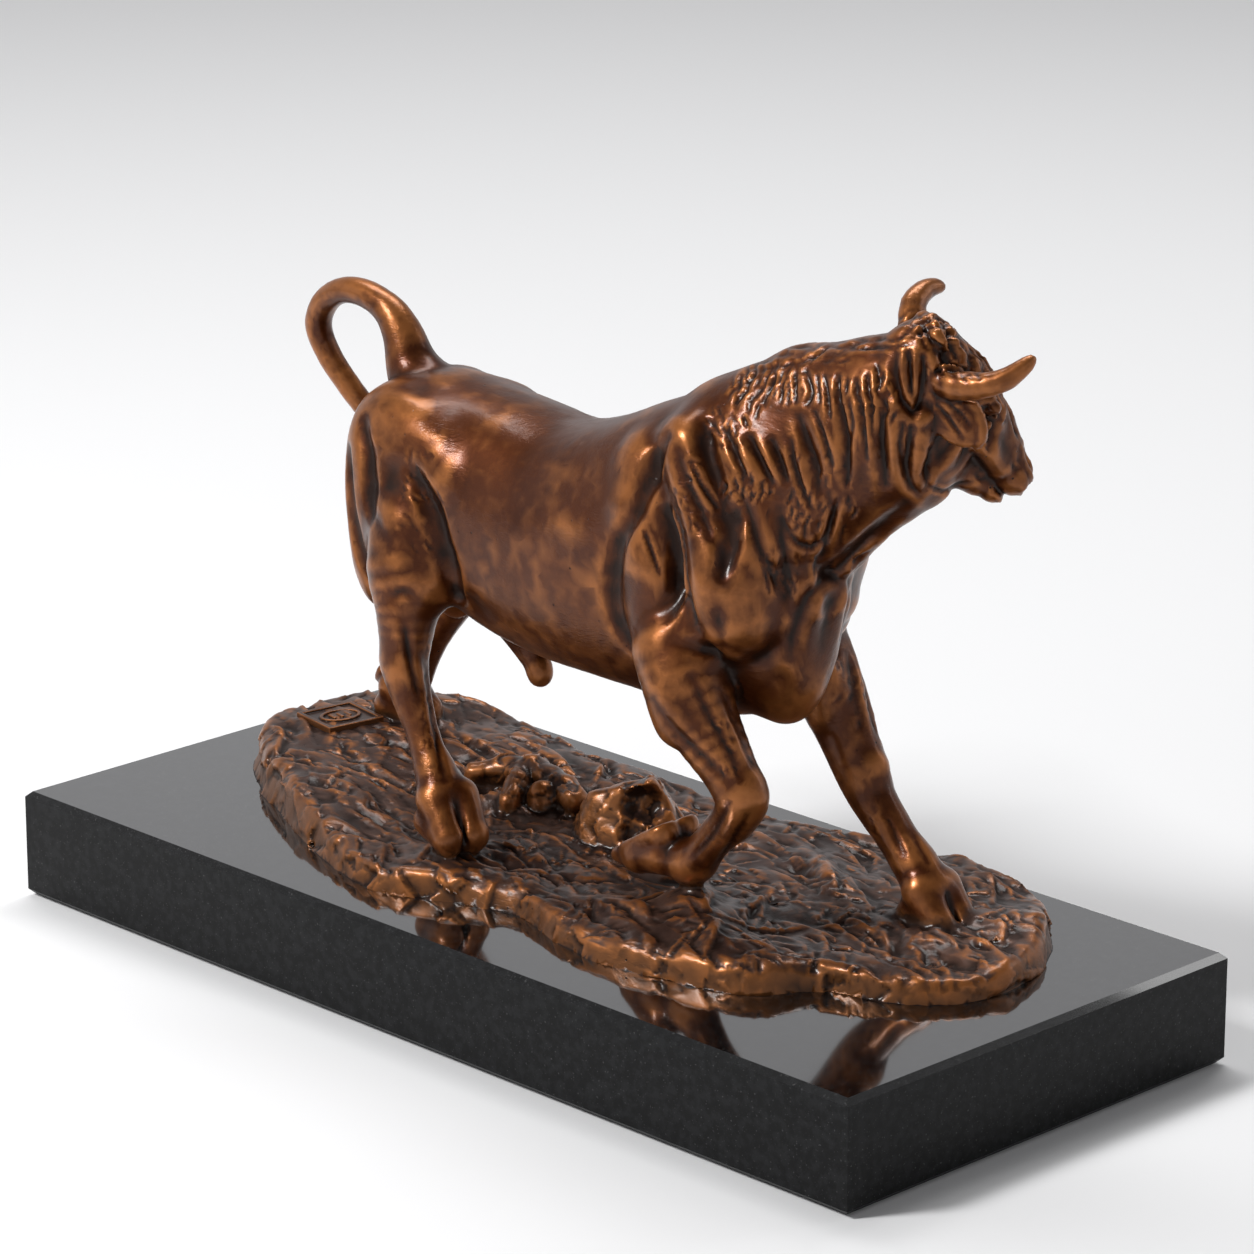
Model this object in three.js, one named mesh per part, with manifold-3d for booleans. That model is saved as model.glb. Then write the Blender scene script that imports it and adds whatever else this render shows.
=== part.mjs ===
// A bronze bull striding over modelled ground, the small seal beside it, and their granite plinth.
import * as THREE from 'three';
import { mergeVertices } from 'three/addons/utils/BufferGeometryUtils.js';
import Module from 'manifold-3d';

const wasm = await Module();
wasm.setup();

// Driving dimensions, in millimetres.
const PLINTH_LENGTH = 400;
const PLINTH_WIDTH = 180;
const PLINTH_HEIGHT = 38.6;
const PLINTH_CHAMFER = 2;
const BRONZE_LENGTH = 349;
const SEAL_LENGTH = 22;
const SEAL_WIDTH = 23;
const SEAL_PLATE = 2.2;
const SEAL_RIM_WIDTH = 1.6;
const SEAL_RELIEF = 0.8;
const SEAL_CLEARANCE = 0.3;

// The casting is modelled in shares of its own length. A share is one part in 349, and z = 0 is the
// plinth's top, with +X towards the bull's head and +Y towards its left side.
const LENGTH_SHARES = 349;
const SHARE = BRONZE_LENGTH / LENGTH_SHARES;
const GRID_STEP = 2.6;
const BLOCK = 8;
const TRIANGLES = 9700;

const add = (a, b) => a.map((value, i) => value + b[i]);
const scale = (a, s) => a.map((value) => value * s);
const between = (a, b, t) => a.map((value, i) => value + (b[i] - value) * t);
const dot = (a, b) => a[0] * b[0] + a[1] * b[1] + a[2] * b[2];
const distance = (a, b) => Math.hypot(a[0] - b[0], a[1] - b[1], a[2] - b[2]);
const mirror = (p, side) => [p[0], p[1] * side, p[2]];
const clamp = (value, low, high) => Math.min(Math.max(value, low), high);

function smoothStep(from, to, value) {
  const t = clamp((value - from) / (to - from), 0, 1);
  return t * t * (3 - 2 * t);
}

// Distance fields. A mass has its signed distance, the softness of its joint and a sphere round it.

function taper(a, b, ra, rb, soft = 5) {
  const [ax, ay, az] = a;
  const along = [b[0] - ax, b[1] - ay, b[2] - az];
  const square = dot(along, along);
  const field = (x, y, z) => {
    const px = x - ax;
    const py = y - ay;
    const pz = z - az;
    const t = clamp((px * along[0] + py * along[1] + pz * along[2]) / square, 0, 1);
    return Math.hypot(px - along[0] * t, py - along[1] * t, pz - along[2] * t) - ra - (rb - ra) * t;
  };
  return { field, soft, centre: between(a, b, 0.5), reach: Math.sqrt(square) / 2 + Math.max(ra, rb) };
}

const WORLD_AXES = [[1, 0, 0], [0, 1, 0], [0, 0, 1]];

function egg(centre, radii, soft = 5, axes = WORLD_AXES) {
  const [[a0, a1, a2], [b0, b1, b2], [c0, c1, c2]] = axes;
  const [ra, rb, rc] = radii;
  const field = (x, y, z) => {
    const px = x - centre[0];
    const py = y - centre[1];
    const pz = z - centre[2];
    const u = (px * a0 + py * a1 + pz * a2) / ra;
    const v = (px * b0 + py * b1 + pz * b2) / rb;
    const w = (px * c0 + py * c1 + pz * c2) / rc;
    const size = Math.hypot(u, v, w);
    const slope = Math.hypot(u / ra, v / rb, w / rc);
    return slope > 1e-9 ? size * (size - 1) / slope : -Math.min(ra, rb, rc);
  };
  return { field, soft, centre, reach: Math.max(ra, rb, rc) };
}

const carve = (mass) => ({ ...mass, carved: true });

// A run of tapers through joints, each given as [x, y, z, radius].
function limb(joints, soft = 4) {
  return joints.slice(1).map((end, i) => {
    const start = joints[i];
    return taper(start.slice(0, 3), end.slice(0, 3), start[3], end[3], soft);
  });
}

// A limb bent smoothly through its joints.
function bentLimb(joints, steps, soft = 4) {
  const path = new THREE.CatmullRomCurve3(joints.map(([x, y, z]) => new THREE.Vector3(x, y, z)));
  const last = joints.length - 1;
  const points = Array.from({ length: steps + 1 }, (_, i) => {
    const place = (i / steps) * last;
    const joint = Math.min(Math.floor(place), last - 1);
    const radius = joints[joint][3] + (joints[joint + 1][3] - joints[joint][3]) * (place - joint);
    return [...path.getPoint(i / steps).toArray(), radius];
  });
  return limb(points, soft);
}

// One mass along a smooth curve, with no swelling at its joints.
function tube(joints, steps, soft = 4) {
  const fields = bentLimb(joints, steps).map(({ field }) => field);
  const centre = [0, 1, 2].map((axis) => {
    const along = joints.map((joint) => joint[axis]);
    return (Math.min(...along) + Math.max(...along)) / 2;
  });
  const spare = 2;
  const reach = Math.max(...joints.map((joint) => distance(joint, centre) + joint[3])) + spare;
  const field = (x, y, z) => {
    let value = fields[0](x, y, z);
    for (let i = 1; i < fields.length; i += 1) {
      value = Math.min(value, fields[i](x, y, z));
    }
    return value;
  };
  return { field, soft, centre, reach };
}

// A rock bounded by planes, each given as [x, y, z, how far out it lies], with worn corners.
function block(centre, faces, soft, corner) {
  const planes = faces.map(([x, y, z, out]) => {
    const length = Math.hypot(x, y, z);
    return [x / length, y / length, z / length, out];
  });
  const field = (x, y, z) => {
    let value = -Infinity;
    for (const [a, b, c, out] of planes) {
      const other = a * (x - centre[0]) + b * (y - centre[1]) + c * (z - centre[2]) - out;
      const rounding = Math.max(corner - Math.abs(value - other), 0);
      value = Math.max(value, other) + rounding * rounding / (4 * corner);
    }
    return value;
  };
  return { field, soft, centre, reach: 1.5 * Math.max(...planes.map((plane) => plane[3])) };
}

// All that lies beyond a plane through a point, as far as the reach.
function planeCut(point, normal, reach) {
  const length = Math.hypot(...normal);
  const field = (x, y, z) => {
    const offset = [x - point[0], y - point[1], z - point[2]];
    return Math.max(-dot(offset, normal) / length, Math.hypot(...offset) - reach);
  };
  return { field, soft: 1, centre: point, reach };
}

// Masses joined and cut among themselves, which then act as one.
function group(masses, centre, reach, soft) {
  return { field: (x, y, z) => joinAt(masses, x, y, z), soft, centre, reach };
}

function joinAt(masses, x, y, z) {
  let value = 60;
  for (const { field, soft, carved } of masses) {
    const next = field(x, y, z);
    const other = carved ? -next : next;
    const blend = Math.max(soft - Math.abs((carved ? -value : value) - next), 0);
    const round = blend * blend / (4 * soft);
    value = carved ? Math.max(value, other) + round : Math.min(value, next) - round;
  }
  return value;
}

// The point where the masses' skin is met, going out from a point inside them.
function skinPoint(masses, inside, direction) {
  const step = 0.5;
  let reach = 0;
  while (joinAt(masses, ...add(inside, scale(direction, reach))) < 0 && reach < 80) {
    reach += step;
  }
  return add(inside, scale(direction, reach));
}

// Trunk: stations along the back, each [x, top, bottom, half width].
const TRUNK = [
  [-98, 149, 114, 10],
  [-90, 158, 102, 21],
  [-75, 161, 92, 28],
  [-56, 159.5, 82, 31],
  [-36, 157.5, 76, 32.5],
  [-12, 155.5, 73, 34],
  [12, 162, 72.5, 35],
  [36, 172.5, 72, 34.5],
  [58, 181, 71, 32],
  [80, 186, 76, 27],
  [97, 175, 92, 19],
  [106, 155, 112, 9],
];
const TRUNK_SQUARENESS = 2.3;

function trunkSection(x) {
  const last = TRUNK.length - 2;
  let i = 0;
  while (i < last && TRUNK[i + 1][0] < x) {
    i += 1;
  }
  const before = TRUNK[Math.max(i - 1, 0)];
  const start = TRUNK[i];
  const end = TRUNK[i + 1];
  const after = TRUNK[Math.min(i + 2, TRUNK.length - 1)];
  const t = (x - start[0]) / (end[0] - start[0]);
  return [1, 2, 3].map((column) => {
    const width = end[0] - start[0];
    const slopeIn = (end[column] - before[column]) / (end[0] - before[0]) * width;
    const slopeOut = (after[column] - start[column]) / (after[0] - start[0]) * width;
    const rise = end[column] - start[column];
    const bend = (1 - t) * (slopeIn - rise) + t * (rise - slopeOut);
    return start[column] + rise * t + t * (1 - t) * bend;
  });
}

function trunk() {
  const ends = [TRUNK[0][0], TRUNK[TRUNK.length - 1][0]];
  const field = (x, y, z) => {
    const held = clamp(x, ends[0], ends[1]);
    const [top, bottom, half] = trunkSection(held);
    const high = (top - bottom) / 2;
    const across = Math.abs(y) / half;
    const up = Math.abs(z - (top + bottom) / 2) / high;
    const size = (across ** TRUNK_SQUARENESS + up ** TRUNK_SQUARENESS) ** (1 / TRUNK_SQUARENESS);
    const side = (size - 1) * Math.min(half, high);
    return x === held ? side : Math.hypot(Math.max(side, 0), x - held);
  };
  const tops = TRUNK.map((station) => station[1]);
  const bottoms = TRUNK.map((station) => station[2]);
  const widest = Math.max(...TRUNK.map((station) => station[3]));
  const span = [[ends[0], -widest, Math.min(...bottoms)], [ends[1], widest, Math.max(...tops)]];
  const centre = between(span[0], span[1], 0.5);
  return { field, soft: 6, centre, reach: distance(span[0], centre), span };
}

// Quarters: the masses that the right and left sides share, with side -1 for the right.

function rump(side) {
  return [
    egg(mirror([-84, 15, 136], side), [18, 15, 21], 6),
    taper(mirror([-64, 19, 141], side), mirror([-46, 23, 134], side), 11, 7, 9),
    egg(mirror([-92, 13, 119], side), [12.5, 11, 28], 5),
  ];
}

// The right shoulder is pushed forward and up by the raised foreleg.
function shoulder(side) {
  const right = side < 0;
  return [
    taper(mirror([63, 19, right ? 164 : 159], side), mirror([82, 22, 126], side), 12, 13.5, 6),
    taper(mirror([46, 21, 155], side), mirror([54, 26, 126], side), 10, 11, 7),
    egg(mirror(right ? [84, 21, 119] : [80, 20, 114], side), [14.5, 13.5, 20], 4),
    egg(mirror([55, 25, 113], side), [13.5, 12, 22], 2.5),
    egg(mirror([70, 25, 106], side), [12, 12, 18], 2.5),
  ];
}

function rightThigh() {
  return [
    egg([-74, -20, 121], [27, 14.5, 35], 4),
    egg([-85, -22, 107], [11.5, 10.5, 28], 3),
    egg([-60, -27, 118], [11, 9, 17], 4),
    taper([-60, -25, 114], [-55, -28, 99], 14, 12, 5),
  ];
}

function leftThigh() {
  return [
    egg([-80, 20, 120], [25, 14.5, 32], 4),
    egg([-92, 21, 108], [10, 9, 24], 4),
    taper([-72, 25, 112], [-70, 27, 98], 15, 12, 6),
  ];
}

function rightHindLeg() {
  const joints = [
    [-67, -23, 112, 14.5], [-63.5, -29.5, 100, 14], [-60, -33, 88, 11.2], [-58.5, -35.5, 76, 9],
    [-57.5, -37, 68, 8.2], [-53, -38, 58, 6.8], [-47, -39, 47.5, 5.7], [-43, -39.8, 41, 5.9],
    [-39.5, -40.3, 36, 7], [-35.5, -41, 29.5, 8],
  ];
  return [
    tube(joints, 27, 6),
    taper([-67, -33.5, 84], [-64, -36.5, 68], 3.2, 4.4, 3),
    egg([-54, -40, 66], [5, 4.5, 8], 3),
    ...hoof([-28.2, -42, 21], -18, -8, 1.08),
  ];
}

function leftHindLeg() {
  const joints = [
    [-76, 25, 103, 13.4], [-90, 28, 84, 9.6], [-99, 29, 72, 8.2], [-106, 29.5, 63, 6.8],
    [-115, 30, 51, 5.6], [-123, 31, 40.5, 6.1], [-127, 31.3, 35, 6.9], [-131, 31.8, 28, 7.2],
  ];
  return [
    tube(joints, 22),
    taper([-99, 28, 86], [-108, 29, 73], 3, 4.2, 3),
    ...hoof([-131, 32, 22.5], 6, -4, 0.95),
  ];
}

// The right foreleg is flexed, with its hoof turned back and its sole facing the ground behind.
function rightForeleg() {
  const joints = [
    [64, -28, 99, 14.6], [70, -30, 90, 14], [78, -29, 76.5, 11.7], [87, -27.5, 64, 9.2],
    [91.5, -26.3, 55, 8.6], [88, -25.3, 47, 7.6], [79, -24.5, 38, 6.3], [72.5, -23.8, 31, 6.6],
    [66.5, -23.3, 25.8, 8], [58, -22.5, 25.8, 7],
  ];
  const claws = [-1, 1].flatMap((side) => {
    const y = -21.8 + side * 4.3;
    return [
      taper([56, y, 26], [45, y, 22.8], 6.6, 5.4, 2),
      taper([45, y, 22.8], [34.5, y - side, 20.6], 5.4, 3, 2),
      taper([55.5, y, 33.5], [42, y - side * 0.5, 25.5], 6.2, 4.8, 2),
    ];
  });
  const clefts = [
    taper([30, -21.8, 20], [46, -21.8, 17], 1.2, 0.9, 1),
    taper([34, -21.8, 24.5], [60, -21.8, 40.5], 1, 1.4, 1),
  ].map(carve);
  const sole = carve(planeCut([32, -21.5, 22.6], [-0.51, 0, 0.86], 40));
  return [
    tube(joints, 32),
    egg([94.6, -26.3, 56], [5.6, 6.8, 8.5], 3),
    egg([71, -38, 84], [8, 4.5, 13], 4),
    group([...claws, ...clefts, sole], [48, -21.5, 27], 26, 1.5),
  ];
}

function leftForeleg() {
  const joints = [
    [68, 25, 96, 14.4], [77, 27, 80, 12.4], [86, 28, 65, 10.2], [93.5, 28, 52, 9],
    [99, 28, 43.5, 7.8], [110, 28, 32.5, 6.9], [118, 28, 25.5, 7.7], [125, 28, 18.5, 7.9],
  ];
  return [
    tube(joints, 26),
    egg([97, 28, 50], [6.2, 7, 8.5], 3),
    egg([84, 20, 78], [6, 5, 12], 4),
    ...hoof([130, 28, 12.2], -4, -8, 1.08),
  ];
}

// A cloven hoof: two claws side by side and two dewclaws, turned about Z and tipped at the toe.
function hoof(centre, turn, tip, size) {
  const heading = THREE.MathUtils.degToRad(turn);
  const pitch = THREE.MathUtils.degToRad(tip);
  const ahead = [Math.cos(heading) * Math.cos(pitch), Math.sin(heading) * Math.cos(pitch), Math.sin(pitch)];
  const aside = [-Math.sin(heading), Math.cos(heading), 0];
  const upward = new THREE.Vector3(...ahead).cross(new THREE.Vector3(...aside)).toArray();
  const at = (forward, side, up) => [0, 1, 2].map(
    (i) => centre[i] + size * (ahead[i] * forward + aside[i] * side + upward[i] * up),
  );
  const claws = [-1, 1].flatMap((side) => [
    taper(at(-5, side * 4.6, 5), at(5.5, side * 4.2, -2.8), 5.8 * size, 4.6 * size, 1.4),
    taper(at(-7, side * 4.6, -3), at(5.5, side * 4.2, -4.2), 5.4 * size, 4.6 * size, 2.5),
    taper(at(-10.6, side * 4.6, 9.5), at(-11.6, side * 5, 7), 2.4 * size, 2 * size, 1.5),
  ]);
  const cleft = carve(taper(at(10.5, 0, -7), at(2, 0, 6.5), 1.3 * size, 0.7 * size, 1.5));
  return [...claws, cleft];
}

function tail() {
  const joints = [
    [-84, 0, 150, 11], [-92.5, 0, 158.5, 8], [-97, 0, 169, 6], [-104, 0, 176.5, 4.6],
    [-116, 0, 180.3, 4], [-128, 0, 179.4, 3.6], [-138.5, 1, 173, 3.8], [-143.5, 2, 163.5, 3.7],
    [-140, 4, 153, 3.5], [-132.5, 6, 143.5, 3.3], [-124, 9, 134, 3.4], [-113, 12, 126, 4.2],
    [-103, 14, 117, 5], [-99, 15, 105, 3.6],
  ];
  return bentLimb(joints, 40, 3);
}

// Neck, in one axis from the withers to the poll.
const NECK_BASE = [80, -1, 156];
const NECK_END = [123, 11, 178];

function neck() {
  return [
    taper([66, 0, 166], [119, 9, 186.5], 18.5, 18.5, 7),
    taper([60, 0, 168], [90, 4, 185], 12, 12.5, 6),
    taper([90, 4, 185], [121, 9, 194], 12.5, 12.5, 6),
    taper([86, -1, 147], [125, 13, 167], 22.5, 17, 7),
    taper(NECK_BASE, NECK_END, 23.5, 19, 7),
  ];
}

// The brisket, with the dewlap's edge from the throat down to it.
function brisket() {
  const dewlap = [
    [134, 16, 160, 5], [124, 11, 152, 5], [114, 8, 142, 5], [106.5, 6, 132.5, 5.5],
    [99.5, 4, 123, 6], [95.5, 3, 114, 6.5], [91.5, 2, 103, 7], [89, 1, 92, 8],
  ];
  return [egg([86.5, 0, 100], [15.5, 14, 27], 6), ...limb(dewlap, 2.5)];
}

// Head, modelled in its own frame: forward to the muzzle, left, and out of the forehead.
const HEAD_CENTRE = [134, 12, 202.4];
const HEAD_TURN = THREE.MathUtils.degToRad(72);
const HEAD_DIP = THREE.MathUtils.degToRad(47);
const HEAD_ROLL = THREE.MathUtils.degToRad(11);

function headFrame() {
  const flat = Math.cos(HEAD_DIP);
  const forward = new THREE.Vector3(
    Math.cos(HEAD_TURN) * flat, Math.sin(HEAD_TURN) * flat, -Math.sin(HEAD_DIP),
  );
  const left = new THREE.Vector3(-Math.sin(HEAD_TURN), Math.cos(HEAD_TURN), 0);
  left.applyAxisAngle(forward, HEAD_ROLL);
  const out = forward.clone().cross(left);
  return [forward.toArray(), left.toArray(), out.toArray()];
}

const HEAD_AXES = headFrame();
const onHead = (forward, left, out) => [0, 1, 2].map(
  (i) => HEAD_CENTRE[i] + HEAD_AXES[0][i] * forward + HEAD_AXES[1][i] * left + HEAD_AXES[2][i] * out,
);

function skull() {
  const sides = [-1, 1];
  return [
    taper(NECK_END, onHead(8, 0, -14), 18, 14.5, 8),
    egg(onHead(9, 0, -3.5), [17, 14, 14], 5, HEAD_AXES),
    egg(onHead(-3, 0, -1), [10, 12, 11], 5, HEAD_AXES),
    taper(onHead(16, 0, 0), onHead(44, 0, -3.2), 12.2, 7.8, 5),
    egg(onHead(52, 0, -5.8), [8.2, 8.4, 6.9], 3, HEAD_AXES),
    taper(onHead(22, 0, -19), onHead(46, 0, -15), 8.5, 5, 4),
    egg(onHead(51, 0, -13.8), [5.8, 5.8, 4], 1, HEAD_AXES),
    ...sides.map((side) => egg(onHead(21, side * 6.5, -16.5), [12, 6.5, 11], 4, HEAD_AXES)),
    ...sides.map((side) => egg(onHead(22.5, side * 9.8, 4.2), [6, 4, 3.6], 3, HEAD_AXES)),
    ...sides.map((side) => taper(onHead(31, side * 10.5, -6), onHead(44, side * 7, -7), 3, 2.5, 4)),
    ...sides.map((side) => egg(onHead(26, side * 11.3, -1.2), [3, 2.6, 2.4], 1.2, HEAD_AXES)),
    ...sides.map((side) => carve(egg(onHead(58, side * 4.6, -5.2), [2.4, 2, 2.5], 1.2, HEAD_AXES))),
    ...sides.map((side) => carve(
      taper(onHead(57.5, side * 1.5, -12), onHead(46.5, side * 7.5, -12.4), 0.9, 1.4, 1),
    )),
  ];
}

// Crown hair between the horns and down the forehead, in rows of short locks.
function crownHair() {
  const rows = [-4, 1, 6, 11];
  return rows.flatMap((forward, row) => [-7.5, -2.5, 2.5, 7.5].map((side) => {
    const shift = side + (row % 2 ? 1.6 : -1.2);
    const root = onHead(forward - 3, shift, 9.2 - Math.abs(shift) * 0.28);
    const end = onHead(forward + 4, shift * 1.05, 10.2 - Math.abs(shift) * 0.32 - row * 0.1);
    return taper(root, end, 2.6, 2, 1.6);
  }));
}

// Each horn runs out, forward and up. The left one is set a little further back.
function horns() {
  const right = [[3, -8, -1, 4.8], [4, -16, -0.5, 4.3], [6, -24, 4.5, 3.9], [7.8, -29, 11.5, 3.3],
    [8.4, -30.5, 18, 2.6], [8.6, -30.5, 24, 1.7]];
  const left = [[3, 8, -1, 4.8], [0, 16, 1.8, 4.3], [-2.6, 24, 8, 3.9], [-1.5, 28.5, 13, 3.2],
    [1.2, 31, 18, 2.5], [3.6, 31.5, 21.5, 1.6]];
  return [right, left].flatMap((joints) => bentLimb(
    joints.map(([forward, side, out, radius]) => [...onHead(forward, side, out), radius]), 12, 1.5,
  ));
}

// Leaf-shaped ears that hang out and forward below the horns, each with a dished front.
function ears() {
  return [-1, 1].flatMap((side) => {
    const along = new THREE.Vector3(0.893, side * 0.443, -0.078).normalize();
    const width = new THREE.Vector3(0.14, side * 0.34, 0.93);
    width.addScaledVector(along, -width.dot(along)).normalize();
    const face = along.clone().cross(width);
    const axes = [along, width, face].map(({ x, y, z }) => [0, 1, 2].map(
      (i) => HEAD_AXES[0][i] * x + HEAD_AXES[1][i] * y + HEAD_AXES[2][i] * z,
    ));
    const stalk = taper(onHead(7, side * 10.5, -3.5), onHead(9.5, side * 14.5, -4.5), 4.2, 3.8, 2.5);
    return [stalk, egg(onHead(13.8, side * 17, -6.4), [10.6, 7.8, 2.4], 1.4, axes)];
  });
}

// Folds and heavy locks that hang down both sides of the neck.
function neckFolds(masses) {
  const middle = NECK_END.map((value, i) => value - NECK_BASE[i]);
  const length = Math.hypot(...middle);
  const along = scale(middle, 1 / length);
  const folds = [];
  const count = 8;
  for (const side of [-1, 1]) {
    for (let i = 0; i < count; i += 1) {
      const place = -0.1 + 1.02 * (i / (count - 1));
      const start = 58 - 8 * Math.sin(i * 1.7);
      const end = -38 + 10 * Math.sin(i * 2.3);
      const points = Array.from({ length: 5 }, (_, j) => {
        const angle = THREE.MathUtils.degToRad(start + (end - start) * (j / 4));
        const sway = 0.035 * Math.sin(i * 1.9 + j * 1.4) - 0.05 * j / 4;
        const inside = add(NECK_BASE, scale(middle, place + sway));
        const out = [-along[1] * Math.cos(angle) * side, Math.cos(angle) * side, Math.sin(angle)];
        const skin = skinPoint(masses, inside, out);
        return [...add(skin, scale(out, -0.9)), 1.5 + 1.3 * Math.sin(Math.PI * (j + 0.7) / 5.4)];
      });
      folds.push(...limb(points, 1.8));
    }
  }
  return folds;
}

function belly() {
  return [
    taper([-42, 0, 79], [-31, 0, 66], 7.5, 4.4, 5),
    egg([-29.8, 0, 63], [4.6, 4.4, 5], 2),
    egg([-72, 1, 86], [8, 9.5, 13], 4),
  ];
}

// Creases where one muscle lies on another, each a radius and a route of [x, z] seen from the side.
const THIGH_CREASES = [
  {
    radius: 2.2,
    route: [[-57, 135], [-50, 127], [-46, 120], [-43, 112], [-40.7, 106], [-39.8, 100], [-41, 93]],
  },
  { radius: 1.8, route: [[-86, 146], [-80, 136], [-76.6, 124.5], [-73.3, 115], [-69.4, 105.6], [-66.6, 97]] },
  { radius: 1.7, route: [[-94, 134], [-91, 121], [-87.5, 108], [-83, 98], [-78, 90]] },
];
const SHOULDER_CREASES = [
  {
    radius: 2.2,
    route: [[59, 170], [55.3, 160.5], [53, 151], [50, 142], [44, 131.7], [41, 120.8], [40.5, 108.8],
      [44, 98.5], [52, 92]],
  },
  { radius: 2, route: [[61.8, 145], [66, 136.6], [68.5, 127.6], [67.5, 119.5], [65.6, 108.6], [62.2, 99]] },
  { radius: 1.8, route: [[71.5, 174], [76, 165.3], [81.4, 156.5], [85.9, 147.5], [91.8, 140.5]] },
  { radius: 1.6, route: [[60, 99], [68, 101.5], [75, 104], [82, 102]] },
];
const LEFT_THIGH_SHIFT = -6;
// How far from the middle plane the search for the skin starts, which must be inside the body.
const CREASE_START = 14;

function creases(masses, routes, side, shift = 0) {
  const sink = 0.35;
  return routes.flatMap(({ radius, route }) => {
    const steps = 2 * route.length;
    const start = side * CREASE_START;
    const path = new THREE.CatmullRomCurve3(route.map(([x, z]) => new THREE.Vector3(x + shift, start, z)));
    const joints = Array.from({ length: steps + 1 }, (_, i) => {
      const met = skinPoint(masses, path.getPoint(i / steps).toArray(), [0, side, 0]);
      const thick = sink + (1 - sink) * Math.sin(Math.PI * i / steps);
      return [...add(met, [0, side * sink * radius, 0]), radius * thick];
    });
    return limb(joints, 2.6).map(carve);
  });
}

function bull() {
  const torso = [
    trunk(),
    ...[-1, 1].flatMap((side) => [...rump(side), ...shoulder(side)]),
    ...neck(),
    ...brisket(),
  ];
  const body = [...torso, ...rightThigh(), ...leftThigh()];
  return [
    ...body,
    ...creases(body, THIGH_CREASES, -1),
    ...creases(body, THIGH_CREASES, 1, LEFT_THIGH_SHIFT),
    ...[-1, 1].flatMap((side) => creases(body, SHOULDER_CREASES, side)),
    ...neckFolds(torso),
    ...belly(),
    ...rightHindLeg(),
    ...leftHindLeg(),
    ...rightForeleg(),
    ...leftForeleg(),
    ...tail(),
    ...skull(),
    ...crownHair(),
    ...ears(),
    ...horns(),
  ];
}

// Ground: its outline seen from above, going round from the rear.
const GROUND_OUTLINE = [
  [-172, -6], [-149, -28], [-119, -43], [-83, -58], [-51, -70], [-27, -67], [-3, -57], [18, -54],
  [46, -63], [75, -62], [105, -56], [121, -47], [130, -32], [150, -25], [168, -11], [175, 8],
  [171, 32], [158, 55], [138, 73], [112, 82], [78, 84], [48, 78], [22, 68], [-30, 69], [-62, 66],
  [-95, 70], [-125, 71], [-150, 65], [-167, 44], [-174, 18],
];
// Swellings of the ground, each [x, y, half length, half width, turn in degrees, height].
const GROUND_LUMPS = [
  [70, -26, 20, 12, -20, 9], [48, -40, 22, 9, 0, 4], [96, -38, 16, 9, 12, 5],
  [-48, 12, 24, 7, 36, 6], [78, 30, 22, 6, -28, 5], [-140, 22, 30, 34, 0, 2.5],
  [-60, 46, 40, 16, 0, 3.5], [-100, -30, 26, 8, -24, 2.5], [150, 44, 18, 12, 40, 4],
  [-8, -34, 16, 8, 0, -1.5], [20, 40, 30, 12, 0, 1.5], [128, -4, 14, 8, 0, -1.5],
  [-30, -42, 22, 15, 0, 3.2],
];
const GROUND_LEVEL = 8.2;
const GROUND_REAR_RISE = 6.5;
const EDGE_INSET = 0.6;
const EDGE_SLOPE = 0.3;
const EDGE_KNOCKS = 2.4;
// How far the ground is carried below the plinth's top before it's cut off level there.
const GROUND_DEPTH = 4;

// The seal lies turned a little on a level pad at the rear of the ground.
const SEAL_PLACE = [-145 * SHARE, 10.5 * SHARE];
const SEAL_SEAT = 15 * SHARE;
const SEAL_TURN = THREE.MathUtils.degToRad(-9);

function hash(i, j) {
  const value = Math.sin(i * 127.1 + j * 311.7) * 43758.5453;
  return value - Math.floor(value);
}

function roughness(x, y) {
  const i = Math.floor(x);
  const j = Math.floor(y);
  const u = smoothStep(0, 1, x - i);
  const v = smoothStep(0, 1, y - j);
  const low = hash(i, j) + (hash(i + 1, j) - hash(i, j)) * u;
  const high = hash(i, j + 1) + (hash(i + 1, j + 1) - hash(i, j + 1)) * u;
  return low + (high - low) * v - 0.5;
}

function groundHeight(x, y) {
  let height = GROUND_LEVEL + GROUND_REAR_RISE * smoothStep(-50, -132, x);
  for (const [cx, cy, length, width, turn, high] of GROUND_LUMPS) {
    const angle = THREE.MathUtils.degToRad(turn);
    const along = ((x - cx) * Math.cos(angle) + (y - cy) * Math.sin(angle)) / length;
    const across = ((y - cy) * Math.cos(angle) - (x - cx) * Math.sin(angle)) / width;
    height += high * Math.exp(-along * along - across * across);
  }
  return height + 3 * roughness(x / 15, y / 15) + 2 * roughness(x / 7 + 9, y / 7);
}

function outlineField() {
  const corners = GROUND_OUTLINE.map(([x, y]) => new THREE.Vector3(x, y, 0));
  const edge = new THREE.CatmullRomCurve3(corners, true).getPoints(GROUND_OUTLINE.length * 4);
  return (x, y) => {
    let nearest = Infinity;
    let inside = false;
    for (let i = 1; i < edge.length; i += 1) {
      const a = edge[i - 1];
      const b = edge[i];
      const t = clamp(((x - a.x) * (b.x - a.x) + (y - a.y) * (b.y - a.y)) / a.distanceToSquared(b), 0, 1);
      nearest = Math.min(nearest, Math.hypot(x - a.x - (b.x - a.x) * t, y - a.y - (b.y - a.y) * t));
      if ((a.y > y) !== (b.y > y) && x < a.x + (b.x - a.x) * (y - a.y) / (b.y - a.y)) {
        inside = !inside;
      }
    }
    return inside ? -nearest : nearest;
  };
}

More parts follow.
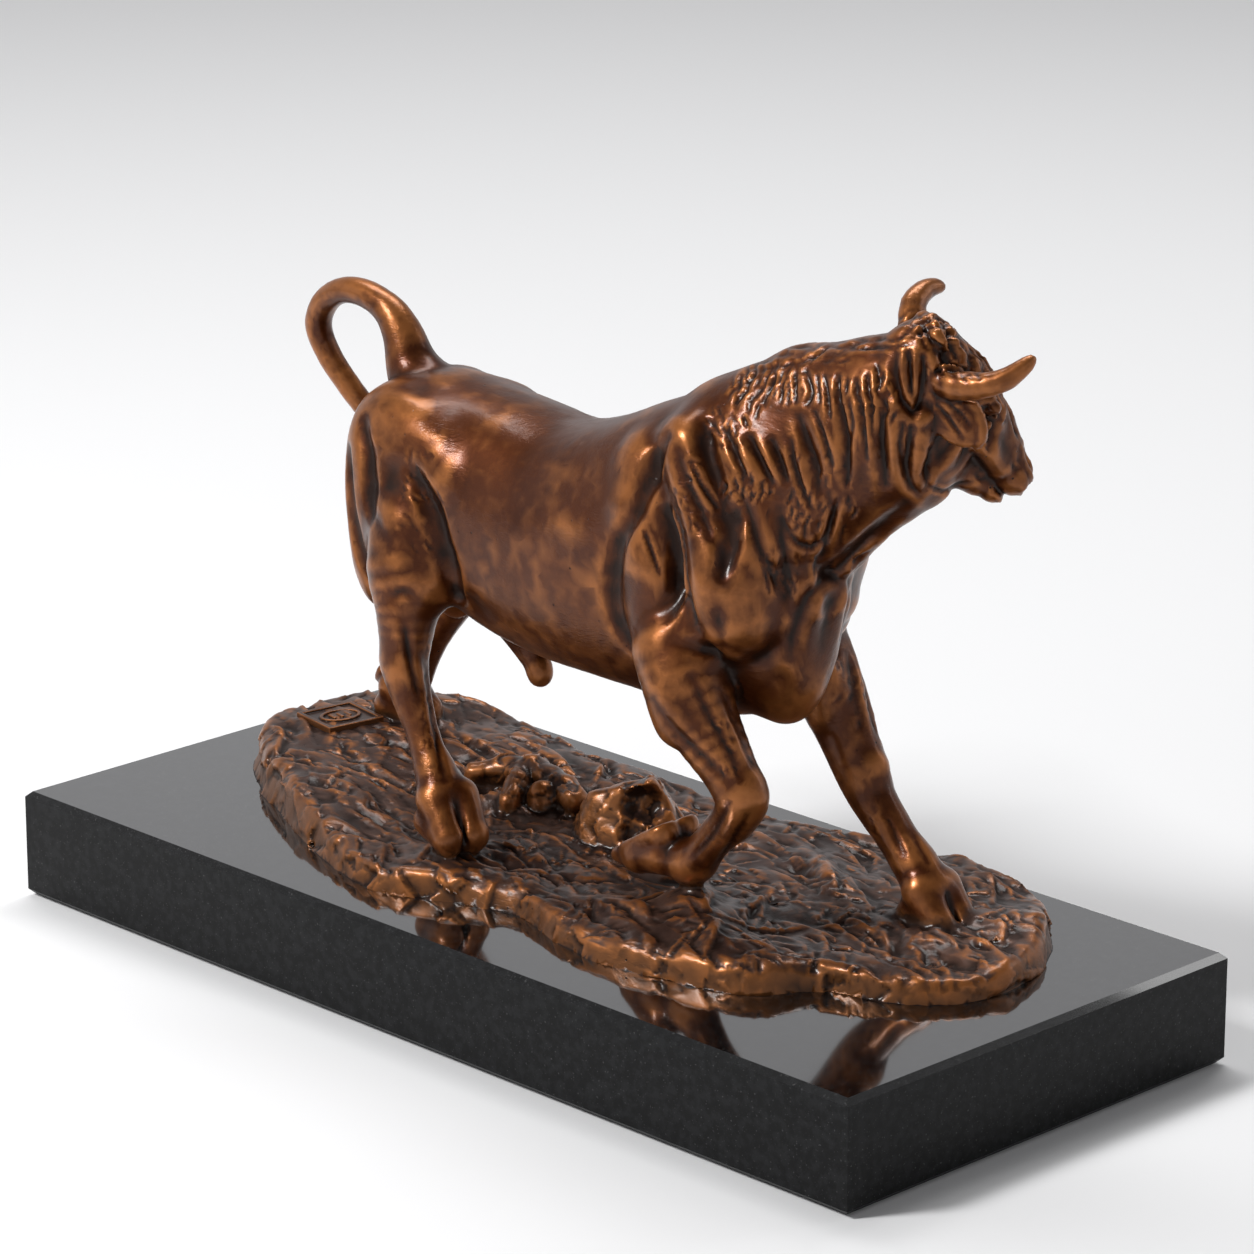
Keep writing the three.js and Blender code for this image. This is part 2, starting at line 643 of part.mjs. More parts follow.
// The ground's height and edge distance are kept on a square lattice, and read between its points.
function ground() {
  const step = 2;
  const margin = 8;
  const start = [0, 1].map((axis) => Math.min(...GROUND_OUTLINE.map((corner) => corner[axis])) - margin);
  const stop = [0, 1].map((axis) => Math.max(...GROUND_OUTLINE.map((corner) => corner[axis])) + margin);
  const size = start.map((low, axis) => Math.ceil((stop[axis] - low) / step) + 1);
  const edge = outlineField();
  const heights = new Float64Array(size[0] * size[1]);
  const edges = new Float64Array(size[0] * size[1]);
  for (let j = 0; j < size[1]; j += 1) {
    for (let i = 0; i < size[0]; i += 1) {
      const x = start[0] + i * step;
      const y = start[1] + j * step;
      heights[j * size[0] + i] = groundHeight(x, y);
      edges[j * size[0] + i] = edge(x, y);
    }
  }
  const read = (values, x, y) => {
    const u = clamp((x - start[0]) / step, 0, size[0] - 1.001);
    const v = clamp((y - start[1]) / step, 0, size[1] - 1.001);
    const i = Math.floor(u);
    const j = Math.floor(v);
    const at = j * size[0] + i;
    const low = values[at] + (values[at + 1] - values[at]) * (u - i);
    const high = values[at + size[0]] + (values[at + size[0] + 1] - values[at + size[0]]) * (u - i);
    return low + (high - low) * (v - j);
  };
  const field = (x, y, z) => {
    const over = z - read(heights, x, y);
    const knocks = EDGE_KNOCKS * roughness(x / 12, y / 12 + z / 9);
    const beyond = read(edges, x, y) + EDGE_INSET + Math.max(z, 0) * EDGE_SLOPE + knocks;
    const blend = Math.max(5 - Math.abs(over - beyond), 0);
    return Math.max(over, beyond, -z - GROUND_DEPTH) + blend * blend / 20;
  };
  const highest = 40;
  const span = [[...start, -GROUND_DEPTH], [...stop, highest]];
  const centre = between(span[0], span[1], 0.5);
  return { field, soft: 2.5, centre, reach: distance(span[0], centre), span };
}

// The boulder behind the raised hoof lies across the ground, with its own directions along, front and up.
const BOULDER_CENTRE = [0, 14, 10];
const BOULDER_ALONG = [0.7, 0.71, 0];
const BOULDER_FRONT = [0.71, -0.7, 0];

const byBoulder = (along, front, up) => [
  BOULDER_ALONG[0] * along + BOULDER_FRONT[0] * front,
  BOULDER_ALONG[1] * along + BOULDER_FRONT[1] * front,
  up,
];

// Boulder and ledge, both hollowed towards the bull's right.
function rocks() {
  const axes = [BOULDER_ALONG, BOULDER_FRONT, [0, 0, 1]];
  const onBoulder = (along, front, up) => add(BOULDER_CENTRE, byBoulder(along, front, up));
  const faces = [
    [-0.28, -0.1, 0.95, 14.6], [-0.45, 0.8, 0.4, 10.5], [0.5, 0.8, 0.2, 13], [0.85, 0, 0.5, 15.5],
    [-0.95, 0.1, 0.3, 16.5], [0, -0.9, 0.4, 9], [0, 0, -1, 12],
  ].map(([along, front, up, out]) => [...byBoulder(along, front, up), out]);
  const crest = [
    [-75, 12, 11, 4], [-66, 19, 12.5, 4.6], [-56, 22, 12.5, 4.4], [-47, 21, 12, 4.2], [-38, 19, 12.5, 4.2],
    [-29, 15, 14, 4.2],
  ];
  const fold = [[-58, 18, 13, 3.4], [-53, 10, 12, 3.4], [-50, 4, 10, 3]];
  const hollow = [[-68, 9, 11, 3.6], [-60, 12, 10.5, 4], [-56, 14, 10.5, 3]];
  return [
    block(BOULDER_CENTRE, faces, 2.5, 2.5),
    ...limb(crest, 3),
    ...limb(hollow, 2).map(carve),
    ...limb(fold, 2),
    egg([-43, 12, 10.5], [5, 4, 4.6], 2),
    carve(egg(onBoulder(6, 9, 12), [10, 6, 6.5], 1.5, axes)),
    carve(egg(onBoulder(0, 11, 4.5), [4.5, 4, 4], 1.2, axes)),
    carve(egg(onBoulder(-13, 9, 8), [1.8, 3, 6], 1.2, axes)),
  ];
}

function sealPad() {
  const axes = [[Math.cos(SEAL_TURN), Math.sin(SEAL_TURN), 0], [-Math.sin(SEAL_TURN), Math.cos(SEAL_TURN), 0],
    [0, 0, 1]];
  const centre = [SEAL_PLACE[0] / SHARE, SEAL_PLACE[1] / SHARE, SEAL_SEAT / SHARE - 6];
  return egg(centre, [19, 19, 8], 3, axes);
}

// Surface: the joined masses sampled on a lattice, in blocks that skip the masses they can't meet.
function sampleField(masses, low, high) {
  const counts = low.map((value, i) => Math.ceil((high[i] - value) / GRID_STEP / BLOCK) * BLOCK + 1);
  const values = new Float64Array(counts[0] * counts[1] * counts[2]).fill(10);
  const half = BLOCK * GRID_STEP / 2;
  const margin = half * Math.sqrt(3) + 12;
  for (let k = 0; k < counts[2]; k += BLOCK) {
    for (let j = 0; j < counts[1]; j += BLOCK) {
      for (let i = 0; i < counts[0]; i += BLOCK) {
        const centre = [i, j, k].map((index, axis) => low[axis] + index * GRID_STEP + half);
        const near = masses.filter((mass) => distance(mass.centre, centre) - mass.reach < margin);
        if (near.some((mass) => !mass.carved && mass.field(...centre) < margin)) {
          fillBlock(near, [i, j, k], counts, low, values);
        }
      }
    }
  }
  return { values, counts, low };
}

// The corners of a box that holds all the masses, with room for their soft joints.
function fieldSpan(masses) {
  const room = 3;
  const grown = masses.filter(({ carved }) => !carved);
  const spans = grown.map(({ centre, reach, span }) => span ?? [
    centre.map((value) => value - reach), centre.map((value) => value + reach),
  ]);
  return [
    [0, 1, 2].map((axis) => Math.min(...spans.map(([low]) => low[axis])) - room),
    [0, 1, 2].map((axis) => Math.max(...spans.map(([, high]) => high[axis])) + room),
  ];
}

function fillBlock(near, start, counts, low, values) {
  const stop = start.map((index, axis) => Math.min(index + BLOCK, counts[axis]));
  for (let k = start[2]; k < stop[2]; k += 1) {
    for (let j = start[1]; j < stop[1]; j += 1) {
      for (let i = start[0]; i < stop[0]; i += 1) {
        values[(k * counts[1] + j) * counts[0] + i] = joinAt(
          near, low[0] + i * GRID_STEP, low[1] + j * GRID_STEP, low[2] + k * GRID_STEP,
        );
      }
    }
  }
}

// Samples that touch only across a diagonal would pinch the surface, so the gap between them is filled.
function closePinches({ values, counts }) {
  const steps = [1, counts[0], counts[0] * counts[1]];
  const filled = -0.05;
  let changed = true;
  while (changed) {
    changed = false;
    for (let at = 0; at < values.length - steps[2] - steps[1] - 1; at += 1) {
      for (const [a, b] of [[steps[0], steps[1]], [steps[0], steps[2]], [steps[1], steps[2]]]) {
        const near = values[at] < 0;
        if (near === values[at + a + b] < 0 && near !== values[at + a] < 0 && near !== values[at + b] < 0) {
          values[near ? at + a : at] = filled;
          changed = true;
        }
      }
      changed = closeCorner(values, at, steps, filled) || changed;
    }
  }
}

// The same for two samples that meet only across a cell's long diagonal.
function closeCorner(values, at, steps, filled) {
  const corners = Array.from({ length: 8 }, (_, i) => steps.reduce(
    (sum, step, axis) => sum + (i >> axis & 1) * step, at,
  ));
  const inside = corners.filter((corner) => values[corner] < 0);
  if (inside.length !== 2 && inside.length !== 6) {
    return false;
  }
  const odd = inside.length === 2 ? inside : corners.filter((corner) => values[corner] >= 0);
  if (corners.indexOf(odd[0]) + corners.indexOf(odd[1]) !== 7) {
    return false;
  }
  values[inside.length === 2 ? corners[corners.indexOf(odd[0]) ^ 1] : odd[0]] = filled;
  return true;
}

// One vertex for each cell that the surface crosses, and two triangles for each lattice edge it cuts.
function meshField({ values, counts, low }) {
  const steps = [1, counts[0], counts[0] * counts[1]];
  const vertexOf = new Int32Array(values.length).fill(-1);
  const positions = [];
  const triangles = [];
  for (let k = 0; k < counts[2] - 1; k += 1) {
    for (let j = 0; j < counts[1] - 1; j += 1) {
      for (let i = 0; i < counts[0] - 1; i += 1) {
        const at = k * steps[2] + j * steps[1] + i;
        const place = cellVertex(values, at, steps);
        if (place) {
          vertexOf[at] = positions.length / 3;
          positions.push(...[i, j, k].map((index, axis) => low[axis] + (index + place[axis]) * GRID_STEP));
        }
      }
    }
  }
  for (let at = 0; at < values.length; at += 1) {
    for (let axis = 0; axis < 3; axis += 1) {
      const next = at + steps[axis];
      if (vertexOf[at] >= 0 && values[at] < 0 !== values[next] < 0) {
        const u = steps[(axis + 1) % 3];
        const v = steps[(axis + 2) % 3];
        const ring = [at, at - u, at - u - v, at - v].map((cell) => vertexOf[cell]);
        triangles.push(...splitQuad(positions, values[at] < 0 ? ring : ring.reverse()));
      }
    }
  }
  return { positions, triangles };
}

function cellVertex(values, at, steps) {
  const sum = [0, 0, 0];
  let crossings = 0;
  for (let corner = 0; corner < 8; corner += 1) {
    const bits = [corner & 1, corner >> 1 & 1, corner >> 2 & 1];
    const from = at + bits[0] * steps[0] + bits[1] * steps[1] + bits[2] * steps[2];
    for (let axis = 0; axis < 3; axis += 1) {
      const to = from + steps[axis];
      if (!bits[axis] && values[from] < 0 !== values[to] < 0) {
        const t = values[from] / (values[from] - values[to]);
        crossings += 1;
        for (let i = 0; i < 3; i += 1) {
          sum[i] += bits[i] + (i === axis ? t : 0);
        }
      }
    }
  }
  return crossings ? sum.map((value) => value / crossings) : null;
}

function splitQuad(positions, [a, b, c, d]) {
  const point = (i) => positions.slice(i * 3, i * 3 + 3);
  const acrossFirst = distance(point(a), point(c)) < distance(point(b), point(d));
  return acrossFirst ? [[a, b, c], [a, c, d]] : [[a, b, d], [b, c, d]];
}

// Thinning: edges are collapsed in order of the error they cause, until the target count is reached.

function planeQuadric(p, q, r) {
  const normal = new THREE.Vector3().subVectors(q, p).cross(new THREE.Vector3().subVectors(r, p));
  const area = normal.length() / 2;
  normal.normalize();
  const { x, y, z } = normal;
  const d = -normal.dot(p);
  return [x * x, x * y, x * z, x * d, y * y, y * z, y * d, z * z, z * d, d * d].map((value) => value * area);
}

function quadricError(q, x, y, z) {
  return x * (q[0] * x + 2 * (q[1] * y + q[2] * z + q[3])) + y * (q[4] * y + 2 * (q[5] * z + q[6]))
    + z * (q[7] * z + 2 * q[8]) + q[9];
}

function bestPlace(q, a, b) {
  const det = q[0] * (q[4] * q[7] - q[5] * q[5]) - q[1] * (q[1] * q[7] - q[5] * q[2])
    + q[2] * (q[1] * q[5] - q[4] * q[2]);
  const middle = a.clone().add(b).multiplyScalar(0.5);
  const choices = [middle, a, b];
  if (Math.abs(det) > 1e-6) {
    const inverse = new THREE.Matrix3().set(q[0], q[1], q[2], q[1], q[4], q[5], q[2], q[5], q[7]).invert();
    const best = new THREE.Vector3(-q[3], -q[6], -q[8]).applyMatrix3(inverse);
    if (best.distanceTo(middle) < a.distanceTo(b) * 1.2) {
      choices.push(best);
    }
  }
  const errors = choices.map((p) => quadricError(q, p.x, p.y, p.z));
  const least = errors.indexOf(Math.min(...errors));
  return { place: choices[least], error: Math.max(errors[least], 0) + 1e-4 * a.distanceToSquared(b) };
}

class Queue {
  constructor() {
    this.items = [];
  }

  push(item) {
    const { items } = this;
    let at = items.length;
    items.push(item);
    while (at > 0 && items[(at - 1) >> 1].error > item.error) {
      items[at] = items[(at - 1) >> 1];
      at = (at - 1) >> 1;
    }
    items[at] = item;
  }

  pop() {
    const { items } = this;
    const first = items[0];
    const item = items.pop();
    let at = 0;
    while (items.length && at * 2 + 1 < items.length) {
      let child = at * 2 + 1;
      if (child + 1 < items.length && items[child + 1].error < items[child].error) {
        child += 1;
      }
      if (items[child].error >= item.error) {
        break;
      }
      items[at] = items[child];
      at = child;
    }
    if (items.length) {
      items[at] = item;
    }
    return first;
  }
}

function thin({ positions, triangles }, target) {
  const points = Array.from(
    { length: positions.length / 3 }, (_, i) => new THREE.Vector3().fromArray(positions, i * 3),
  );
  const facesOf = points.map(() => new Set());
  const quadrics = points.map(() => new Array(10).fill(0));
  const stamps = new Int32Array(points.length);
  triangles.forEach((triangle, face) => {
    const plane = planeQuadric(...triangle.map((i) => points[i]));
    triangle.forEach((i) => {
      facesOf[i].add(face);
      quadrics[i] = add(quadrics[i], plane);
    });
  });
  const queue = new Queue();
  const neighbours = (i) => {
    const corners = [...facesOf[i]].flatMap((face) => triangles[face]);
    return new Set(corners.filter((j) => j !== i));
  };
  const offer = (a, b) => {
    const { place, error } = bestPlace(add(quadrics[a], quadrics[b]), points[a], points[b]);
    queue.push({ a, b, place, error, stamp: stamps[a] + stamps[b] });
  };
  points.forEach((_, i) => neighbours(i).forEach((j) => j > i && offer(i, j)));
  let count = triangles.length;
  while (count > target && queue.items.length) {
    const { a, b, place, stamp } = queue.pop();
    const fresh = facesOf[a].size && facesOf[b].size && stamps[a] + stamps[b] === stamp;
    if (fresh && canCollapse(points, triangles, facesOf, neighbours, a, b, place)) {
      count -= collapse(triangles, facesOf, a, b);
      points[a].copy(place);
      quadrics[a] = add(quadrics[a], quadrics[b]);
      stamps[a] += 1;
      neighbours(a).forEach((j) => offer(a, j));
    }
  }
  return { points, triangles: triangles.filter((_, face) => facesOf[triangles[face][0]].has(face)) };
}

function canCollapse(points, triangles, facesOf, neighbours, a, b, place) {
  const around = neighbours(a);
  const shared = [...neighbours(b)].filter((i) => around.has(i));
  if (shared.length !== 2) {
    return false;
  }
  return [[a, b], [b, a]].every(([moved, other]) => [...facesOf[moved]].every((face) => {
    const triangle = triangles[face];
    if (triangle.includes(other)) {
      return true;
    }
    const before = triangle.map((i) => points[i]);
    const after = triangle.map((i) => (i === moved ? place : points[i]));
    return keepsFacing(before, after);
  }));
}

function keepsFacing(before, after) {
  const normal = ([p, q, r]) => {
    const side = new THREE.Vector3().subVectors(r, p);
    return new THREE.Vector3().subVectors(q, p).cross(side);
  };
  const leastTurn = 0.3;
  const leastWidth = 0.08;
  const old = normal(before);
  const now = normal(after);
  const [p, q, r] = after;
  const longest = Math.max(p.distanceTo(q), q.distanceTo(r), r.distanceTo(p));
  const turned = now.dot(old) > leastTurn * now.length() * old.length();
  return turned && now.length() > leastWidth * longest * longest;
}

function collapse(triangles, facesOf, a, b) {
  let removed = 0;
  for (const face of facesOf[b]) {
    if (triangles[face].includes(a)) {
      triangles[face].forEach((i) => facesOf[i].delete(face));
      removed += 1;
    } else {
      triangles[face] = triangles[face].map((i) => (i === b ? a : i));
      facesOf[a].add(face);
    }
  }
  facesOf[b].clear();
  return removed;
}

// Solids: closed meshes go to the solid library for joining and cutting, and come back as geometry.

function toSolid(geometry) {
  const bare = geometry.clone();
  bare.deleteAttribute('normal');
  bare.deleteAttribute('uv');
  const merged = mergeVertices(bare, 1e-5);
  const vertProperties = new Float32Array(merged.attributes.position.array);
  const triVerts = new Uint32Array(merged.index.array);
  return new wasm.Manifold(new wasm.Mesh({ numProp: 3, vertProperties, triVerts }));
}

function toGeometry(solid) {
  const { vertProperties, triVerts } = solid.getMesh();
  const geometry = new THREE.BufferGeometry();
  geometry.setAttribute('position', new THREE.BufferAttribute(vertProperties, 3));
  geometry.setIndex(new THREE.BufferAttribute(triVerts, 1));
  geometry.computeVertexNormals();
  return geometry;
}

function bronzeGeometry() {
  const masses = [ground(), ...rocks(), sealPad(), ...bull()];
  const [low, high] = fieldSpan(masses);
  const samples = sampleField(masses, low, high);
  closePinches(samples);
  const { points, triangles } = thin(meshField(samples), TRIANGLES);
  const geometry = new THREE.BufferGeometry();
  geometry.setAttribute('position', new THREE.Float32BufferAttribute(
    points.flatMap(({ x, y, z }) => [x * SHARE, y * SHARE, z * SHARE]), 3,
  ));
  geometry.setIndex(triangles.flat());
  return toGeometry(toSolid(geometry).subtract(belowPlinthTop()).subtract(sealRoom()));
}

function belowPlinthTop() {
  const depth = 20 * SHARE;
  const slab = new THREE.BoxGeometry(BRONZE_LENGTH * 1.2, BRONZE_LENGTH, depth);
  return toSolid(slab.translate(0, 0, -depth / 2));
}

// The seat that the seal lies on, cut level through the ground above it.
function sealRoom() {
  const high = 12 * SHARE;
  const room = new THREE.BoxGeometry(SEAL_LENGTH + 2 * SEAL_CLEARANCE, SEAL_WIDTH + 2 * SEAL_CLEARANCE, high);
  room.rotateZ(SEAL_TURN).translate(SEAL_PLACE[0], SEAL_PLACE[1], SEAL_SEAT + high / 2);
  return toSolid(room);
}

function rectangle(length, width) {
  const shape = new THREE.Shape();
  shape.moveTo(-length / 2, -width / 2);
  shape.lineTo(length / 2, -width / 2);
  shape.lineTo(length / 2, width / 2);
  shape.lineTo(-length / 2, width / 2);
  shape.closePath();
  return shape;
}

function oval(length, width) {
  return new THREE.Path().absellipse(0, 0, length / 2, width / 2, 0, Math.PI * 2);
}

// The seal: a plate with a raised border, an oval ring and three short bars of no meaning.
function sealGeometry() {
  const sunk = 0.4;
  const raised = { depth: SEAL_RELIEF + sunk, bevelEnabled: false, curveSegments: 8 };
  const lift = SEAL_PLATE - sunk;
  const border = rectangle(SEAL_LENGTH, SEAL_WIDTH);
  border.holes.push(rectangle(SEAL_LENGTH - 2 * SEAL_RIM_WIDTH, SEAL_WIDTH - 2 * SEAL_RIM_WIDTH));
  const ringLength = SEAL_WIDTH - 4.4 * SEAL_RIM_WIDTH;
  const ringWidth = SEAL_LENGTH - 6.4 * SEAL_RIM_WIDTH;
  const ring = new THREE.Shape().absellipse(0, 0, ringWidth / 2, ringLength / 2, 0, Math.PI * 2);
  ring.holes.push(oval(ringWidth - SEAL_RIM_WIDTH * 1.4, ringLength - SEAL_RIM_WIDTH * 1.4));
  let solid = toSolid(new THREE.ExtrudeGeometry(
    rectangle(SEAL_LENGTH, SEAL_WIDTH), { depth: SEAL_PLATE, bevelEnabled: false },
  ));
  for (const shape of [border, ring]) {
    solid = solid.add(toSolid(new THREE.ExtrudeGeometry(shape, raised).translate(0, 0, lift)));
  }
  for (const row of [-1, 0, 1]) {
    const bar = new THREE.BoxGeometry(ringWidth * 0.34, SEAL_RIM_WIDTH * 0.7, raised.depth);
    bar.translate(0, row * ringLength * 0.2, lift + raised.depth / 2);
    solid = solid.add(toSolid(bar));
  }
  return toGeometry(solid);
}

function plinthGeometry() {
  const inset = 2 * PLINTH_CHAMFER;
  const slab = new THREE.ExtrudeGeometry(rectangle(PLINTH_LENGTH - inset, PLINTH_WIDTH - inset), {
    depth: PLINTH_HEIGHT - inset,
    bevelThickness: PLINTH_CHAMFER,
    bevelSize: PLINTH_CHAMFER,
    bevelSegments: 1,
  });
  return slab.translate(0, 0, PLINTH_CHAMFER - PLINTH_HEIGHT);
}

function part(name, geometry, color, roughnessValue, metalness) {
  const mesh = new THREE.Mesh(geometry, new THREE.MeshStandardMaterial({
    color, roughness: roughnessValue, metalness,
  }));
  mesh.name = name;
  return mesh;
}

const sculpture = new THREE.Group();
sculpture.position.z = PLINTH_HEIGHT;

const plinth = part('granite_plinth', plinthGeometry(), 0x1d1e20, 0.25, 0);
const bronze = part('bronze_bull', bronzeGeometry(), 0x5a3218, 0.38, 1);
const seal = part('foundry_seal', sealGeometry(), 0x6b4426, 0.4, 1);
seal.position.set(SEAL_PLACE[0], SEAL_PLACE[1], SEAL_SEAT + SEAL_CLEARANCE);
seal.rotation.z = SEAL_TURN;

sculpture.add(plinth, bronze, seal);

export default sculpture;
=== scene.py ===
import math

import bpy
import numpy as np
from mathutils import Matrix, Vector


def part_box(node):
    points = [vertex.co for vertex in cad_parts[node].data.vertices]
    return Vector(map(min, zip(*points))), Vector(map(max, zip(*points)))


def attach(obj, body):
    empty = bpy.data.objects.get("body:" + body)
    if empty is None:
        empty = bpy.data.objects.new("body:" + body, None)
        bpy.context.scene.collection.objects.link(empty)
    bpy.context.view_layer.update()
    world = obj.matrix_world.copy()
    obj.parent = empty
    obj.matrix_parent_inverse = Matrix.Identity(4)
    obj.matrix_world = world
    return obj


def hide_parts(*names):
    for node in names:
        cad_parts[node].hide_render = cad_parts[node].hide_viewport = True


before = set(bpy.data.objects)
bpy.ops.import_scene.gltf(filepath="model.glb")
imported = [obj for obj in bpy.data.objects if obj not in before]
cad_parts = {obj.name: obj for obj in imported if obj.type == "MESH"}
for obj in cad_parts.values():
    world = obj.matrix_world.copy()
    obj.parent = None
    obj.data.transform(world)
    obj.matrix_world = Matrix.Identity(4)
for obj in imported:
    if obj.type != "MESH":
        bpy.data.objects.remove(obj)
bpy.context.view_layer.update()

# The slab's top comes from the frame. The figure stands on it and is sculpted in shares of its
# ground's length, with the origin over the slab's middle.
GROUND_LENGTH = 0.349
LENGTH_SHARES = 349.0
SHARE = GROUND_LENGTH / LENGTH_SHARES
PLINTH_TOP = float(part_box("granite_plinth")[1][2])

# The box that the figure is sculpted in, the lattice's step in shares, and how fine the cast is
FIGURE_LOW, FIGURE_HIGH = (-180, -78, -2.1), (182, 92, 236)
LATTICE_STEP = 1.0
BRONZE_TRIANGLES = 194000

WORLD_AXES = np.eye(3)
# A distance that is past every mass, in shares
FAR = 60.0


class Mass:
    """A closed form with its distance field, the softness of its joint and a sphere round it."""

    def __init__(self, field, soft, centre, reach, carved=False):
        self.field, self.soft, self.carved = field, soft, carved
        self.centre, self.reach = np.asarray(centre, float), reach


def taper(a, b, ra, rb, soft=5.0):
    """A round bar between two points, with a radius at each."""
    a, b = np.asarray(a, float), np.asarray(b, float)
    along = b - a
    square = float(along @ along)

    def field(p):
        d = p - a
        t = np.clip(d @ along / square, 0.0, 1.0)
        d = d - t[:, None] * along
        return np.sqrt(np.einsum("ij,ij->i", d, d)) - ra - (rb - ra) * t

    return Mass(field, soft, (a + b) / 2, math.sqrt(square) / 2 + max(ra, rb))


def egg(centre, radii, soft=5.0, axes=WORLD_AXES):
    centre, radii, axes = np.asarray(centre, float), np.asarray(radii, float), np.asarray(axes, float)

    def field(p):
        q = (p - centre) @ axes.T / radii
        size = np.sqrt(np.einsum("ij,ij->i", q, q))
        q = q / radii
        slope = np.sqrt(np.einsum("ij,ij->i", q, q))
        return np.where(slope > 1e-9, size * (size - 1) / np.maximum(slope, 1e-9), -radii.min())

    return Mass(field, soft, centre, radii.max())


def carve(masses):
    for mass in masses:
        mass.carved = True
    return masses


def limb(joints, soft=4.0):
    return [taper(a[:3], b[:3], a[3], b[3], soft) for a, b in zip(joints[:-1], joints[1:])]


def curve(joints, count):
    """Points spread evenly along a smooth curve through the joints."""
    joints = np.asarray(joints, float)
    place = np.linspace(0, len(joints) - 1, count)
    i = np.minimum(place.astype(int), len(joints) - 2)
    t = (place - i)[:, None]
    padded = np.concatenate([[2 * joints[0] - joints[1]], joints, [2 * joints[-1] - joints[-2]]])
    p0, p1, p2, p3 = padded[i], padded[i + 1], padded[i + 2], padded[i + 3]
    return 0.5 * (2 * p1 + (p2 - p0) * t + (2 * p0 - 5 * p1 + 4 * p2 - p3) * t ** 2
                  + (3 * p1 - p0 - 3 * p2 + p3) * t ** 3)


def bent_limb(joints, steps, soft=4.0):
    return limb(curve(joints, steps + 1), soft)


def tube(joints, steps, soft=4.0):
    """One mass along a smooth curve, with no swelling at its joints."""
    parts = bent_limb(joints, steps)
    points = np.asarray(joints, float)
    centre = (points[:, :3].min(0) + points[:, :3].max(0)) / 2
    reach = (np.linalg.norm(points[:, :3] - centre, axis=1) + points[:, 3]).max() + 2

    def field(p):
        value = parts[0].field(p)
        for part in parts[1:]:
            value = np.minimum(value, part.field(p))
        return value

    return Mass(field, soft, centre, reach)


def block(centre, faces, soft, corner):
    """A rock bounded by planes, each a direction and how far out it lies, with worn corners."""
    centre = np.asarray(centre, float)
    ways = np.array([face[:3] for face in faces], float)
    ways /= np.linalg.norm(ways, axis=1)[:, None]
    outs = [face[3] for face in faces]

    def field(p):
        d = p - centre
        value = d @ ways[0] - outs[0]
        for way, out in zip(ways[1:], outs[1:]):
            other = d @ way - out
            rounding = np.maximum(corner - np.abs(value - other), 0)
            value = np.maximum(value, other) + rounding * rounding / (4 * corner)
        return value

    return Mass(field, soft, centre, max(outs) * 1.5)


def blended(value, other, mass):
    """A distance joined to, or cut by, the next mass with a soft corner."""
    if mass.carved:
        round_off = np.maximum(mass.soft - np.abs(value + other), 0)
        return np.maximum(value, -other) + round_off * round_off / (4 * mass.soft)
    round_off = np.maximum(mass.soft - np.abs(value - other), 0)
    return np.minimum(value, other) - round_off * round_off / (4 * mass.soft)


def join(masses, p):
    value = np.full(len(p), FAR)
    for mass in masses:
        value = blended(value, mass.field(p), mass)
    return value


# The search for the skin goes out by long steps, then goes back one and out again by short ones.
LONG_STEP, SHORT_STEP, FARTHEST_SKIN = 4.0, 0.5, 80


def skin(masses, inside, out):
    """Where the skin is met, going outwards from points inside the masses."""
    inside, out = np.asarray(inside, float), np.asarray(out, float)
    reach = np.zeros(len(inside))
    for step in (LONG_STEP, SHORT_STEP):
        going = np.arange(len(inside))
        reach = np.maximum(reach - LONG_STEP, 0.0)
        while len(going):
            p = inside[going] + out[going] * reach[going][:, None]
            going = going[(join(masses, p) < 0) & (reach[going] < FARTHEST_SKIN)]
            reach[going] += step
    return inside + out * reach[:, None]


def plane_cut(point, normal, reach):
    """A mass that holds all that lies beyond a plane, within reach of a point on it."""
    point = np.asarray(point, float)
    normal = np.asarray(normal, float) / np.linalg.norm(normal)

    def field(p):
        d = p - point
        return np.maximum(-(d @ normal), np.linalg.norm(d, axis=1) - reach)

    return Mass(field, 1.0, point, reach)


# Trunk: sections from rump to chest, each x, top, bottom and half width
TRUNK = np.array([
    (-98, 149, 114, 10), (-90, 158, 102, 21), (-75, 161, 92, 28), (-56, 159.5, 82, 31),
    (-36, 157.5, 76, 32.5), (-12, 155.5, 73, 34), (12, 162, 72.5, 35), (36, 172.5, 72, 34.5),
    (58, 181, 71, 32), (80, 186, 76, 27), (97, 175, 92, 19), (106, 155, 112, 9)], float)
# The sections are ovals, slightly squared: 2 would be a plain ellipse.
SQUARENESS = 2.3


def section(x):
    """The trunk's top, bottom and half width at each x, on a smooth curve through the sections."""
    i = np.clip(np.searchsorted(TRUNK[:, 0], x, side="right") - 1, 0, len(TRUNK) - 2)
    before, start, end = TRUNK[np.maximum(i - 1, 0)], TRUNK[i], TRUNK[i + 1]
    after = TRUNK[np.minimum(i + 2, len(TRUNK) - 1)]
    width = (end[:, 0] - start[:, 0])[:, None]
    t = (x - start[:, 0])[:, None] / width
    into = (end - before)[:, 1:] / (end - before)[:, :1] * width
    out = (after - start)[:, 1:] / (after - start)[:, :1] * width
    rise = (end - start)[:, 1:]
    return start[:, 1:] + rise * t + t * (1 - t) * ((1 - t) * (into - rise) + t * (rise - out))


